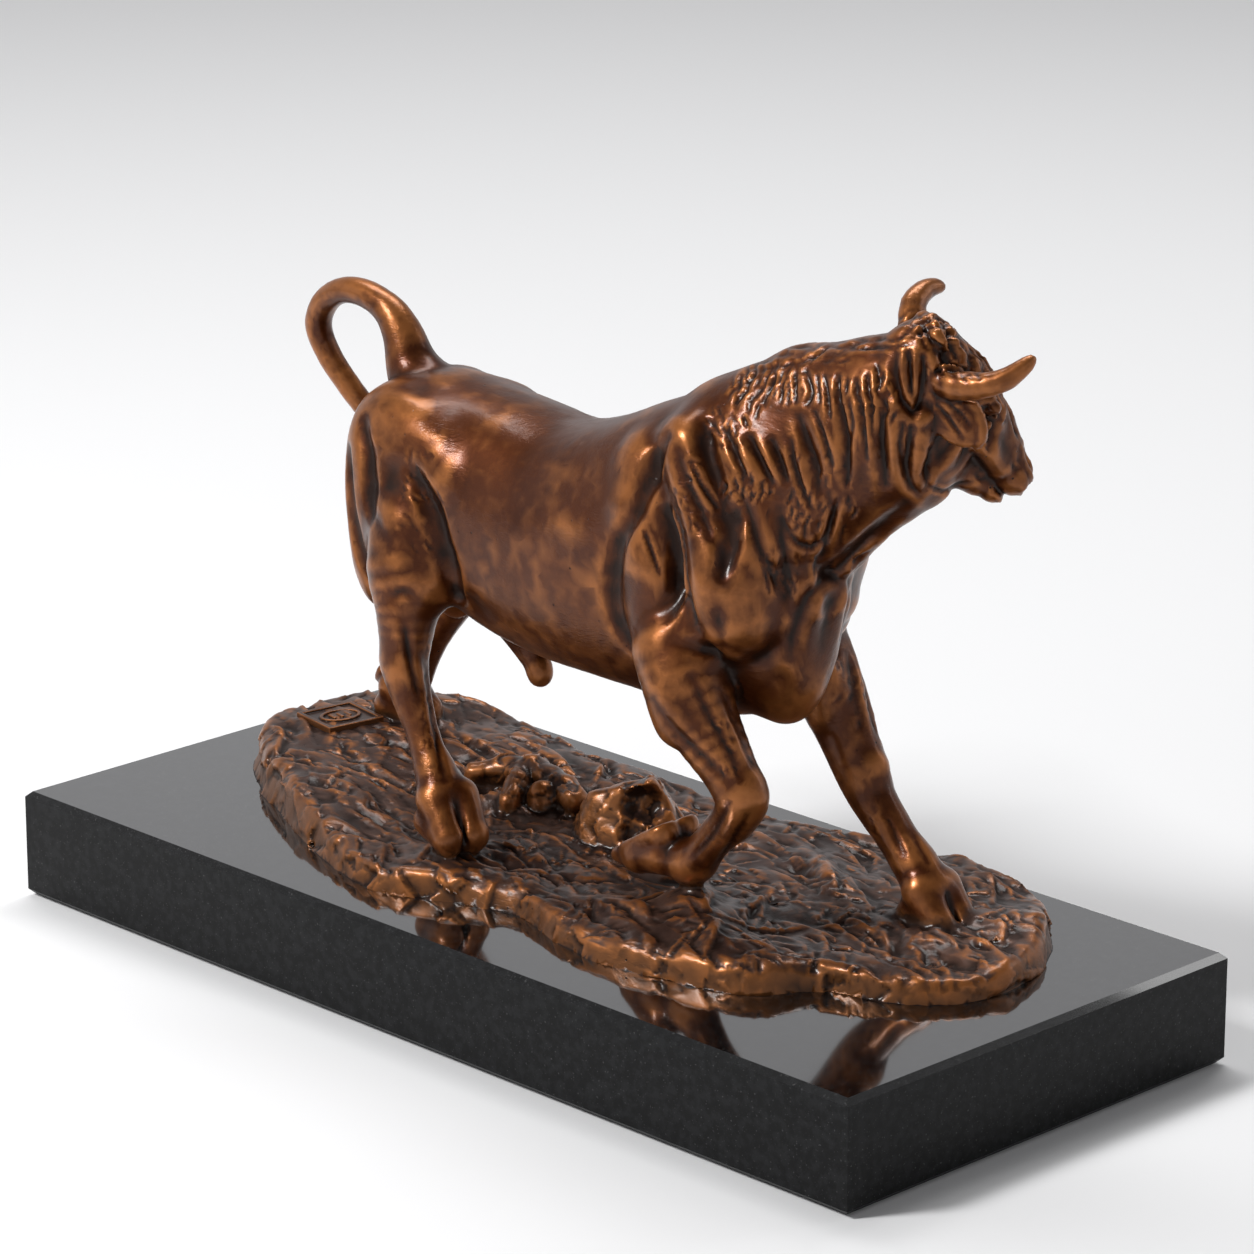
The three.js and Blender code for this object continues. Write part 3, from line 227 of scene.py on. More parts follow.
def trunk():
    low, high = TRUNK[0, 0], TRUNK[-1, 0]

    def field(p):
        x = np.clip(p[:, 0], low, high)
        top, bottom, half = section(x).T
        tall = (top - bottom) / 2
        size = (np.abs(p[:, 1] / half) ** SQUARENESS
                + np.abs((p[:, 2] - (top + bottom) / 2) / tall) ** SQUARENESS) ** (1 / SQUARENESS)
        side = (size - 1) * np.minimum(half, tall)
        return np.where(x == p[:, 0], side, np.hypot(np.maximum(side, 0), p[:, 0] - x))

    return [Mass(field, 6.0, (5, 0, 125), 130)]


def at_side(p, side):
    return (p[0], p[1] * side, p[2])


def rump(side):
    return [
        egg(at_side((-84, 15, 136), side), (18, 15, 21), 6),
        taper(at_side((-64, 19, 141), side), at_side((-46, 23, 134), side), 11, 7, 9),
        egg(at_side((-92, 13, 119), side), (12.5, 11, 28), 5),
    ]


def shoulder(side):
    front = (84, 21, 119) if side < 0 else (80, 20, 114)
    return [
        taper(at_side((63, 19, 164 if side < 0 else 159), side), at_side((82, 22, 126), side), 12, 13.5, 6),
        taper(at_side((46, 21, 155), side), at_side((54, 26, 126), side), 10, 11, 7),
        egg(at_side(front, side), (14.5, 13.5, 20), 4),
        taper(at_side((80.5, 23, 127), side), at_side((89, 20, 137.5), side), 9.5, 9, 10),
        egg(at_side((55, 25, 113), side), (13.5, 12, 22), 2.5),
        egg(at_side((70, 25, 106), side), (12, 12, 18), 2.5),
    ]


def right_thigh():
    return [
        egg((-74, -20, 121), (27, 14.5, 35), 4),
        egg((-85, -22, 107), (11.5, 10.5, 28), 3),
        egg((-60, -27, 118), (11, 9, 17), 4),
        taper((-60, -25, 114), (-55, -28, 99), 14, 12, 5),
    ]


def left_thigh():
    return [
        egg((-80, 20, 120), (25, 14.5, 32), 4),
        egg((-92, 21, 108), (10, 9, 24), 4),
        taper((-72, 25, 112), (-70, 27, 98), 15, 12, 6),
    ]


def right_hind_leg():
    return [
        tube([(-67, -23, 112, 14.5), (-63.5, -29.5, 100, 14), (-60, -33, 88, 11.2),
              (-58.5, -35.5, 76, 9), (-57.5, -37, 68, 8.2), (-53, -38, 58, 6.8),
              (-47, -39, 47.5, 5.7), (-43, -39.8, 41, 5.9), (-39.5, -40.3, 36, 7),
              (-35.5, -41, 29.5, 8)], 27, 6),
        taper((-67, -33.5, 84), (-64, -36.5, 68), 3.2, 4.4, 3),
        egg((-54, -40, 66), (5, 4.5, 8), 3),
        *hoof((-28.2, -42, 21), -18, -8, 1.08),
    ]


def left_hind_leg():
    return [
        tube([(-76, 25, 103, 13.4), (-90, 28, 84, 9.6), (-99, 29, 72, 8.2), (-106, 29.5, 63, 6.8),
              (-115, 30, 51, 5.6), (-123, 31, 40.5, 6.1), (-127, 31.3, 35, 6.9),
              (-131, 31.8, 28, 7.2)], 22, 4),
        taper((-99, 28, 86), (-108, 29, 73), 3, 4.2, 3),
        *hoof((-131, 32, 22.5), 6, -4, 0.95),
    ]


def right_foreleg():
    sole = plane_cut((32, -21.5, 22.6), (-0.51, 0, 0.86), 40)
    parts = [
        tube([(64, -28, 99, 14.6), (70, -30, 90, 14), (78, -29, 76.5, 11.7), (87, -27.5, 64, 9.2),
              (91.5, -26.3, 55, 8.6), (88, -25.3, 47, 7.6), (79, -24.5, 38, 6.3), (72.5, -23.8, 31, 6.6),
              (66.5, -23.3, 25.8, 8), (58, -22.5, 25.8, 7)], 32, 4),
        egg((94.6, -26.3, 56), (5.6, 6.8, 8.5), 3),
        egg((71, -38, 84), (8, 4.5, 13), 4),
    ]
    claws = []
    for side in (-1, 1):
        y = -21.8 + side * 4.3
        claws += [
            taper((56, y, 26), (45, y, 22.8), 6.6, 5.4, 2),
            taper((45, y, 22.8), (34.5, y - side, 20.6), 5.4, 3, 2),
            taper((55.5, y, 33.5), (42, y - side * 0.5, 25.5), 6.2, 4.8, 2),
        ]
    cleft = carve([taper((30, -21.8, 20), (46, -21.8, 17), 1.2, 0.9, 1),
                   taper((34, -21.8, 24.5), (60, -21.8, 40.5), 1.0, 1.4, 1)])
    sole.carved = True
    # The sole only cuts the claws, so they are one mass by themselves.
    return parts + [group(claws + cleft + [sole], (48, -21.5, 27), 26, 1.5)]


def left_foreleg():
    return [
        tube([(68, 25, 96, 14.4), (77, 27, 80, 12.4), (86, 28, 65, 10.2), (93.5, 28, 52, 9),
              (99, 28, 43.5, 7.8), (110, 28, 32.5, 6.9), (118, 28, 25.5, 7.7), (125, 28, 18.5, 7.9)], 26, 4),
        egg((97, 28, 50), (6.2, 7, 8.5), 3),
        egg((84, 20, 78), (6, 5, 12), 4),
        *hoof((130, 28, 12.2), -4, -8, 1.08),
    ]


def group(masses, centre, reach, soft):
    """Masses joined and cut among themselves, which then act as one."""
    return Mass(lambda p: join(masses, p), soft, centre, reach)


def hoof(centre, turn, tip, size):
    """Two claws with the cleft between them and the dew claws behind."""
    heading, pitch = math.radians(turn), math.radians(tip)
    level = math.cos(pitch)
    ahead = np.array([math.cos(heading) * level, math.sin(heading) * level, math.sin(pitch)])
    aside = np.array([-math.sin(heading), math.cos(heading), 0.0])
    upward = np.cross(ahead, aside)

    def at(forward, side, up):
        return np.asarray(centre, float) + size * (ahead * forward + aside * side + upward * up)

    parts = []
    for side in (-1, 1):
        parts += [
            taper(at(-5, side * 4.2, 5), at(5.5, side * 4.1, -2.8), 6.1 * size, 4.8 * size, 2.4),
            taper(at(-7, side * 4.4, -3), at(5.5, side * 4.2, -4.2), 5.6 * size, 4.7 * size, 2.5),
            taper(at(-10.6, side * 4.6, 9.5), at(-11.6, side * 5, 7), 2.4 * size, 2 * size, 1.5),
        ]
    return parts + carve([taper(at(10.5, 0, -7), at(2, 0, 6.5), 1.3 * size, 0.7 * size, 1.5)])


def tail():
    return bent_limb([
        (-84, 0, 150, 11), (-92.5, 0, 158.5, 8), (-97, 0, 169, 6), (-104, 0, 176.5, 4.6),
        (-116, 0, 180.3, 4), (-128, 0, 179.4, 3.6), (-138.5, 1, 173, 3.8), (-143.5, 2, 163.5, 3.7),
        (-140, 4, 153, 3.5), (-132.5, 6, 143.5, 3.3), (-124, 9, 134, 3.4), (-113, 12, 126, 4.2),
        (-103, 14, 117, 5), (-99, 15, 105, 3.6)], 40, 3)


NECK_BASE = np.array([80.0, -1, 156])
NECK_END = np.array([123.0, 11, 178])


def neck():
    return [
        taper((66, 0, 166), (119, 9, 186.5), 18.5, 18.5, 7),
        taper((60, 0, 168), (90, 4, 185), 12, 12.5, 6),
        taper((90, 4, 185), (121, 9, 194), 12.5, 12.5, 6),
        taper((86, -1, 147), (125, 13, 167), 22.5, 17, 7),
        taper(NECK_BASE, NECK_END, 23.5, 19, 7),
    ]


def brisket():
    return [
        egg((86.5, 0, 100), (15.5, 14, 27), 6),
        *limb([(134, 16, 160, 5), (124, 11, 152, 5), (114, 8, 142, 5), (106.5, 6, 132.5, 5.5),
               (99.5, 4, 123, 6), (95.5, 3, 114, 6.5), (91.5, 2, 103, 7), (89, 1, 92, 8)], 2.5),
    ]


HEAD = np.array([134, 12, 202.4])
TURN, DIP, ROLL = math.radians(72), math.radians(47), math.radians(11)


def head_axes():
    flat = math.cos(DIP)
    forward = np.array([math.cos(TURN) * flat, math.sin(TURN) * flat, -math.sin(DIP)])
    level = np.array([-math.sin(TURN), math.cos(TURN), 0.0])
    left = level * math.cos(ROLL) + np.cross(forward, level) * math.sin(ROLL)
    return np.array([forward, left, np.cross(forward, left)])


HEAD_AXES = head_axes()


def on_head(forward, left, out):
    return HEAD + HEAD_AXES.T @ np.array([forward, left, out], float)


def skull():
    parts = [
        taper(NECK_END, on_head(8, 0, -14), 18, 14.5, 8),
        egg(on_head(9, 0, -3.5), (17, 14, 14), 5, HEAD_AXES),
        egg(on_head(-3, 0, -1), (10, 12, 11), 5, HEAD_AXES),
        taper(on_head(16, 0, 0), on_head(44, 0, -3.2), 12.2, 7.8, 5),
        egg(on_head(52, 0, -5.8), (8.2, 8.4, 6.9), 3, HEAD_AXES),
        taper(on_head(22, 0, -19), on_head(46, 0, -15), 8.5, 5, 4),
        egg(on_head(51, 0, -13.8), (5.8, 5.8, 4), 1, HEAD_AXES),
    ]
    for side in (-1, 1):
        parts += [
            egg(on_head(21, side * 6.5, -16.5), (12, 6.5, 11), 4, HEAD_AXES),
            egg(on_head(22.5, side * 9.8, 4.2), (6, 4, 3.6), 3, HEAD_AXES),
            taper(on_head(31, side * 10.5, -6), on_head(44, side * 7, -7), 3, 2.5, 4),
        ]
    for side in (-1, 1):
        parts += carve([egg(on_head(26, side * 12.6, -1), (4.6, 2.2, 3.2), 1.5, HEAD_AXES)])
        parts += [egg(on_head(26, side * 11, -1), (3, 2.4, 2.3), 0.6, HEAD_AXES)]
        parts += carve([
            egg(on_head(58, side * 4.6, -5.2), (2.2, 1.8, 2.3), 1, HEAD_AXES),
            taper(on_head(57.5, side * 1.5, -12), on_head(46.5, side * 7.5, -12.4), 0.7, 1.3, 1),
        ])
    return parts


def crown_hair():
    parts = []
    for row, forward in enumerate((-4, 1, 6, 11)):
        for side in (-7.5, -2.5, 2.5, 7.5):
            shift = side + (1.6 if row % 2 else -1.2)
            root = on_head(forward - 3, shift, 9.2 - abs(shift) * 0.28)
            end = on_head(forward + 4, shift * 1.05, 10.2 - abs(shift) * 0.32 - row * 0.1)
            parts.append(taper(root, end, 2.7, 2.2, 2.2))
    return parts


def horns():
    right = [(3, -8, -1, 4.8), (4, -16, -0.5, 4.3), (6, -24, 4.5, 3.9), (7.8, -29, 11.5, 3.3),
             (8.4, -30.5, 18, 2.6), (8.6, -30.5, 22.5, 1.7)]
    left = [(3, 8, -1, 4.8), (0, 16, 1.8, 4.3), (-2.6, 24, 8, 3.9), (-1.5, 28.5, 13, 3.2),
            (1.2, 31, 16.8, 2.5), (3.6, 31.5, 18.8, 1.6)]
    parts = []
    for joints in (right, left):
        parts += bent_limb([(*on_head(*joint[:3]), joint[3]) for joint in joints], 12, 1.5)
    return parts


def ears():
    parts = []
    for side in (-1, 1):
        along = np.array([0.893, side * 0.443, -0.078])
        along /= np.linalg.norm(along)
        width = np.array([0.14, side * 0.34, 0.93])
        width -= along * (width @ along)
        width /= np.linalg.norm(width)
        axes = np.array([along, width, np.cross(along, width)]) @ HEAD_AXES
        parts += [
            taper(on_head(7, side * 10.5, -3.5), on_head(9.5, side * 14.5, -4.5), 4.2, 3.8, 2.5),
            egg(on_head(13.8, side * 17, -6.4), (10.6, 7.8, 2.2), 1.4, axes),
        ]
    return parts


# Creases where one muscle lies on another, each a radius and a route of (x, z) seen from the side
THIGH_CREASES = [
    (1.6, [(-57, 135), (-50, 127), (-46, 120), (-43, 112), (-40.7, 106), (-39.8, 100), (-41, 93)]),
    (1.3, [(-86, 146), (-80, 136), (-76.6, 124.5), (-73.3, 115), (-69.4, 105.6), (-66.6, 97)]),
    (1.2, [(-94, 134), (-91, 121), (-87.5, 108), (-83, 98), (-78, 90)]),
]
SHOULDER_CREASES = [
    (1.5, [(59, 170), (55.3, 160.5), (53, 151), (50, 142), (44, 131.7), (41, 120.8), (40.5, 108.8),
           (44, 98.5), (52, 92)]),
    (1.3, [(61.8, 145), (66, 136.6), (68.5, 127.6), (67.5, 119.5), (65.6, 108.6), (62.2, 99)]),
    (0.9, [(71.5, 174), (76.0, 165.3), (81.4, 156.5), (85.9, 147.5), (91.8, 140.5)]),
    (1.1, [(88, 150), (90, 140), (90, 131)]),
    (1.0, [(60, 99), (68, 101.5), (75, 104), (82, 102)]),
]

# How far from the middle plane the search for the skin starts, which must be inside the body
CREASE_START = 14


def creases(body, routes, side, shift=0.0):
    parts = []
    for radius, route in routes:
        path = curve([(x + shift, side * CREASE_START, z) for x, z in route], 3 * len(route))
        out = np.tile((0.0, side, 0.0), (len(path), 1))
        met = skin(body, path, out)
        thick = 0.35 + 0.65 * np.sin(np.pi * np.linspace(0, 1, len(path)))
        parts += carve(limb(np.column_stack([met + out * 0.35 * radius, radius * thick]), 5))
    return parts


def belly():
    return [
        taper((-42, 0, 79), (-31, 0, 66), 7.5, 4.4, 5),
        egg((-29.8, 0, 63), (4.6, 4.4, 5), 2),
        egg((-72, 1, 86), (8, 9.5, 13), 4),
    ]


def bull():
    torso = trunk()
    for side in (-1, 1):
        torso += rump(side) + shoulder(side)
    torso += neck() + brisket()
    body = torso + right_thigh() + left_thigh()
    cuts = creases(body, THIGH_CREASES, -1) + creases(body, THIGH_CREASES, 1, -6.0)
    for side in (-1, 1):
        cuts += creases(body, SHOULDER_CREASES, side)
    return (body + cuts + belly() + right_hind_leg() + left_hind_leg()
            + right_foreleg() + left_foreleg() + tail() + skull() + crown_hair() + ears() + horns())


# Ground
GROUND_OUTLINE = [
    (-172, -6), (-149, -28), (-119, -43), (-83, -58), (-51, -70), (-27, -67), (-3, -57), (18, -54),
    (46, -63), (75, -62), (105, -56), (121, -47), (130, -32), (150, -25), (168, -11), (175, 8),
    (171, 32), (158, 55), (138, 73), (112, 82), (78, 84), (48, 78), (22, 68), (-30, 69), (-62, 66),
    (-95, 70), (-125, 71), (-150, 65), (-167, 44), (-174, 18)]
# Rises and dips in the ground: middle x and y, half length, half width, turn in degrees, height
LUMPS = [
    (70, -26, 20, 12, -20, 9), (48, -40, 22, 9, 0, 4), (96, -38, 16, 9, 12, 5), (-48, 12, 24, 7, 36, 6),
    (78, 30, 22, 6, -28, 5), (-140, 22, 30, 34, 0, 2.5), (-60, 46, 40, 16, 0, 3.5),
    (-100, -30, 26, 8, -24, 2.5), (150, 44, 18, 12, 40, 4), (-8, -34, 16, 8, 0, -1.5),
    (20, 40, 30, 12, 0, 1.5), (128, -4, 14, 8, 0, -1.5), (-30, -42, 22, 15, 0, 3.2)]
GROUND_LEVEL, REAR_RISE = 8.2, 6.5
# The way the modelling tool was drawn, in degrees from the slab's length
FLOW_TURN = -12


def smooth(low, high, value):
    t = np.clip((value - low) / (high - low), 0, 1)
    return t * t * (3 - 2 * t)


# Factors that turn whole coordinates into values scattered evenly from 0 to 1
SCATTER_WAYS, SCATTER_SIZE = (127.1, 311.7, 74.7), 43758.5453


def scatter(*lattice):
    value = np.sin(sum(c * k for c, k in zip(lattice, SCATTER_WAYS))) * SCATTER_SIZE
    return value - np.floor(value)


def noise(p):
    """Value noise of points of two or three coordinates, from -0.5 to 0.5."""
    whole = np.floor(p)
    t = p - whole
    t = t * t * (3 - 2 * t)
    size = p.shape[1]
    total = 0.0
    for corner in range(2 ** size):
        bits = [corner >> axis & 1 for axis in range(size)]
        weight = 1.0
        for axis, bit in enumerate(bits):
            weight = weight * (t[:, axis] if bit else 1 - t[:, axis])
        total = total + weight * scatter(*[whole[:, axis] + bit for axis, bit in enumerate(bits)])
    return total - 0.5


def facets(p, tilt=1.0):
    """Flat patches with steps between them, from the nearest of scattered points."""
    whole = np.floor(p)
    best = np.full(len(p), 1e9)
    height = np.zeros(len(p))
    for corner in range(3 ** 3):
        cell = whole + (corner % 3 - 1, corner // 3 % 3 - 1, corner // 9 - 1)
        pin = cell + np.column_stack([scatter(*(cell + k * 17.3).T) for k in range(3)])
        d = p - pin
        far = (d * d).sum(1)
        lean = np.column_stack([scatter(*(cell + 51.7 + k * 9.1).T) - 0.5 for k in range(3)])
        closer = far < best
        height = np.where(closer, tilt * (d * lean).sum(1) + scatter(*(cell + 80.3).T) - 0.5, height)
        best = np.where(closer, far, best)
    return height


def ground_height(x, y):
    height = GROUND_LEVEL + REAR_RISE * smooth(50, 132, -x)
    for cx, cy, length, width, turn, high in LUMPS:
        angle = math.radians(turn)
        along = ((x - cx) * math.cos(angle) + (y - cy) * math.sin(angle)) / length
        across = ((y - cy) * math.cos(angle) - (x - cx) * math.sin(angle)) / width
        height = height + high * np.exp(-along ** 2 - across ** 2)
    p = np.column_stack([x, y])
    warp = p + 6 * np.column_stack([noise(p / 17 + 3), noise(p / 17 + 41)])
    turn = math.radians(FLOW_TURN)
    along = warp @ (math.cos(turn), math.sin(turn))
    across = warp @ (-math.sin(turn), math.cos(turn))
    strokes = facets(np.column_stack([along / 15, across / 6.5, 0 * x]), 1.5)
    fine = facets(np.column_stack([along / 6, across / 3.4, 0 * x + 5]), 1.2)
    patchy = smooth(-0.15, 0.15, noise(p / 11 + 90))
    return height + 2.6 * noise(p / 19) + 0.95 * strokes + 0.42 * fine * patchy


def edge_distance(x, y):
    """How far points lie outside the ground's outline, less than nothing where they are inside."""
    steps = 4
    wrapped = GROUND_OUTLINE[-2:] + GROUND_OUTLINE + GROUND_OUTLINE[:3]
    corners = curve(wrapped, steps * (len(wrapped) - 1) + 1)
    corners = corners[2 * steps:(2 + len(GROUND_OUTLINE)) * steps + 1]
    nearest = np.full(len(x), 1e9)
    inside = np.zeros(len(x), bool)
    for (ax, ay), (bx, by) in zip(corners[:-1], corners[1:]):
        t = np.clip(((x - ax) * (bx - ax) + (y - ay) * (by - ay)) / ((bx - ax) ** 2 + (by - ay) ** 2), 0, 1)
        nearest = np.minimum(nearest, np.hypot(x - ax - (bx - ax) * t, y - ay - (by - ay) * t))
        if ay != by:
            crosses = ((ay > y) != (by > y)) & (x < ax + (bx - ax) * (y - ay) / (by - ay))
            inside ^= crosses
    return np.where(inside, -nearest, nearest)


def ground():
    step, start, size = 1.0, np.array([-182.0, -80.0]), (366, 176)
    sides = [start[axis] + step * np.arange(size[axis]) for axis in (0, 1)]
    gx, gy = np.meshgrid(*sides, indexing="ij")
    tables = np.stack([ground_height(gx.ravel(), gy.ravel()), edge_distance(gx.ravel(), gy.ravel())], 1)
    tables = tables.reshape(*size, 2)

    def read(p):
        u = np.clip((p[:, :2] - start) / step, 0, np.array(size) - 1.001)
        i = u.astype(int)
        t = u - i
        a, b = i.T
        s, v = t[:, :1], t[:, 1:]
        return ((tables[a, b] * (1 - s) + tables[a + 1, b] * s) * (1 - v)
                + (tables[a, b + 1] * (1 - s) + tables[a + 1, b + 1] * s) * v)

    def field(p):
        height, edge = read(p).T
        over = p[:, 2] - height
        beyond = edge + 1.2 + np.maximum(p[:, 2], 0) * 0.3
        near = np.abs(beyond) < 12
        if near.any():
            q = p[near]
            knife = 1 - smooth(0, 45, q[:, 0])
            rolling = 2.0 * facets(q / (30, 30, 14), 1.3) + 1.2 * noise(q / (16, 16, 9))
            beyond[near] += knife * 2.2 * facets(q / (18, 18, 12), 1.3) + (1 - knife) * rolling
        blend = np.maximum(3 - np.abs(over - beyond), 0)
        return np.maximum(np.maximum(over, beyond), -p[:, 2] - 4) + blend * blend / 12

    return [Mass(field, 2.5, (0, 2, 0), 190)]


ROCK_ALONG, ROCK_FRONT = np.array([0.7, 0.71, 0]), np.array([0.71, -0.7, 0])


def rocks():
    """The boulder behind the raised hoof and the ledge beside it, both hollowed towards the bull's right."""
    def lean(along, front, up, out):
        return (*(ROCK_ALONG * along + ROCK_FRONT * front + np.array([0, 0, up])), out)

    def spot(along, front, up):
        return np.array([0.0, 14, 10]) + ROCK_ALONG * along + ROCK_FRONT * front + (0, 0, up)

    axes = np.array([ROCK_ALONG, ROCK_FRONT, (0, 0, 1)])
    boulder = block(spot(0, 0, 0), [
        lean(-0.28, -0.1, 0.95, 17), lean(-0.45, 0.8, 0.4, 11.5), lean(0.5, 0.8, 0.2, 14),
        lean(0.85, 0, 0.5, 17), lean(-0.95, 0.1, 0.3, 17.5), lean(0, -0.9, 0.4, 10),
        lean(0, 0, -1, 12)], 1.6, 1.6)
    crest = [(-76, 12, 12, 4), (-66, 19, 14.5, 5), (-56, 22, 15.5, 5.2), (-47, 21, 14.5, 5),
             (-38, 19, 14.5, 4.8), (-29, 15, 14, 4.6)]
    fold = [(-58, 18, 15.5, 4), (-53, 10, 14.5, 4), (-49, 3, 11, 3.6)]
    hollow = [(-68, 9, 11, 3.6), (-60, 12, 10.5, 4), (-56, 14, 10.5, 3)]
    return [
        boulder, *limb(crest, 3), *carve(limb(hollow, 2)), *limb(fold, 2), egg((-42, 12, 12), (6, 4.5, 6), 2),
        *carve([
            egg(spot(6, 9, 12.5), (10.5, 7, 6.5), 1.5, axes),
            egg(spot(0, 12, 4.5), (5, 4.5, 4.5), 1.2, axes),
            egg(spot(-13, 9, 8), (1.8, 3, 6), 1.2, axes),
        ]),
    ]


SEAL_PLACE = np.array([-145.0, 10.5])
SEAL_SEAT = 15.0
SEAL_TURN = math.radians(-9)


def seal_pad():
    c, s = math.cos(SEAL_TURN), math.sin(SEAL_TURN)
    axes = np.array([(c, s, 0), (-s, c, 0), (0, 0, 1)])
    return [egg((*SEAL_PLACE, SEAL_SEAT - 6), (19, 19, 8), 3, axes)]


# Surface. The lattice is worked out in blocks of this many cells each way.
BLOCK = 8


def sample(masses, low, high, step):
    """The masses' joined distance on a lattice, worked out only in the blocks near the skin."""
    low = np.asarray(low, float)
    blocks = np.ceil((np.asarray(high) - low) / step / BLOCK).astype(int)
    corner = np.stack(np.meshgrid(*[np.arange(n) * BLOCK for n in blocks], indexing="ij"), -1).reshape(-1, 3)
    half = BLOCK * step / 2
    middles = low + corner * step + half
    margin = half * math.sqrt(3) * 1.25
    value = np.full(len(middles), FAR)
    solid = np.zeros(len(middles), bool)
    met = []
    for mass in masses:
        within = mass.reach + mass.soft + margin + 2
        close = np.nonzero(((middles - mass.centre) ** 2).sum(1) < within ** 2)[0]
        got = mass.field(middles[close])
        near = got < margin + mass.soft
        close, got = close[near], got[near]
        met.append(close)
        value[close] = blended(value[close], got, mass)
        solid[close] |= not mass.carved
    active = solid & (np.abs(value) < margin + 3)
    number = np.full(len(middles), -1)
    number[active] = np.arange(active.sum())
    offsets = np.stack(np.meshgrid(*[np.arange(BLOCK + 1)] * 3, indexing="ij"), -1).reshape(-1, 3) * step
    corners = low + corner[active] * step
    inside = np.full((active.sum(), len(offsets)), FAR)
    for mass, close in zip(masses, met):
        mine = number[close]
        mine = mine[mine >= 0]
        if len(mine):
            got = mass.field((corners[mine][:, None] + offsets).reshape(-1, 3)).reshape(len(mine), -1)
            inside[mine] = blended(inside[mine], got, mass)
    values = np.full(blocks * BLOCK + 1, 10.0, np.float32)
    for at in corner[solid & (value < -margin - 3)]:
        values[tuple(slice(a, a + BLOCK + 1) for a in at)] = -10.0
    for at, got in zip(corner[active], inside):
        values[tuple(slice(a, a + BLOCK + 1) for a in at)] = got.reshape([BLOCK + 1] * 3)
    return values, low


# How far inside a filled point is set, and how often the lattice is gone through, at most
FILLED, FILLING_ROUNDS = -0.02, 6


def close_pinches(values):
    """Fills the places where the masses would meet in a bare edge between two cells."""
    for _ in range(FILLING_ROUNDS):
        inside = values < 0
        changed = 0
        for a, b in ((0, 1), (0, 2), (1, 2)):
            def part(i, j):
                index = [slice(None)] * 3
                index[a] = slice(1, None) if i else slice(0, -1)
                index[b] = slice(1, None) if j else slice(0, -1)
                return tuple(index)
            s00, s01, s10, s11 = (inside[part(i, j)] for i, j in ((0, 0), (0, 1), (1, 0), (1, 1)))
            one = s00 & s11 & ~s01 & ~s10
            two = ~s00 & ~s11 & s01 & s10
            changed += int(one.sum() + two.sum())
            values[part(0, 1)][one] = FILLED
            values[part(0, 0)][two] = FILLED
        if not changed:
            break


def surface(values, low, step):
    """One point for each cell that the skin crosses, and one quad for each lattice edge it cuts."""
    inside = values < 0
    cells = np.zeros(np.array(values.shape) - 1, np.uint8)
    corners = [(i, j, k) for i in (0, 1) for j in (0, 1) for k in (0, 1)]

    def part(bits):
        return tuple(slice(1, None) if bit else slice(0, -1) for bit in bits)

    for bits in corners:
        cells += inside[part(bits)]
    active = np.nonzero((cells > 0) & (cells < len(corners)))
    number = np.full(cells.shape, -1, np.int32)
    number[active] = np.arange(len(active[0]))
    grid = np.stack(active, 1)
    total = np.zeros((len(grid), 3))
    count = np.zeros(len(grid))
    unit = np.eye(3, dtype=int)
    for axis in range(3):
        for bits in corners:
            if bits[axis]:
                continue
            a = grid + bits
            b = a + unit[axis]
            va, vb = values[tuple(a.T)], values[tuple(b.T)]
            cut = (va < 0) != (vb < 0)
            place = np.tile(np.array(bits, float), (int(cut.sum()), 1))
            place[:, axis] += va[cut] / (va[cut] - vb[cut])
            total[cut] += place
            count[cut] += 1
    points = low + (grid + total / count[:, None]) * step
    quads = []
    for axis in range(3):
        u, v = unit[(axis + 1) % 3], unit[(axis + 2) % 3]
        lower = [slice(1, -1)] * 3
        lower[axis] = slice(0, -1)
        upper = [slice(1, -1)] * 3
        upper[axis] = slice(1, None)
        a, b = inside[tuple(lower)], inside[tuple(upper)]
        at = np.stack(np.nonzero(a != b), 1) + [0 if i == axis else 1 for i in range(3)]
        around = ((0, 0), (1, 0), (1, 1), (0, 1))
        ring = np.stack([number[tuple((at - du * u - dv * v).T)] for du, dv in around], 1)
        flip = ~inside[tuple(at.T)]
        ring[flip] = ring[flip][:, ::-1]
        quads.append(ring)
    return points, np.concatenate(quads)


# Relief on the bull's sides. Each mark is placed where it shows from the camera, in picture points
# (1254 across), and the same marks are turned to the other side of the body.

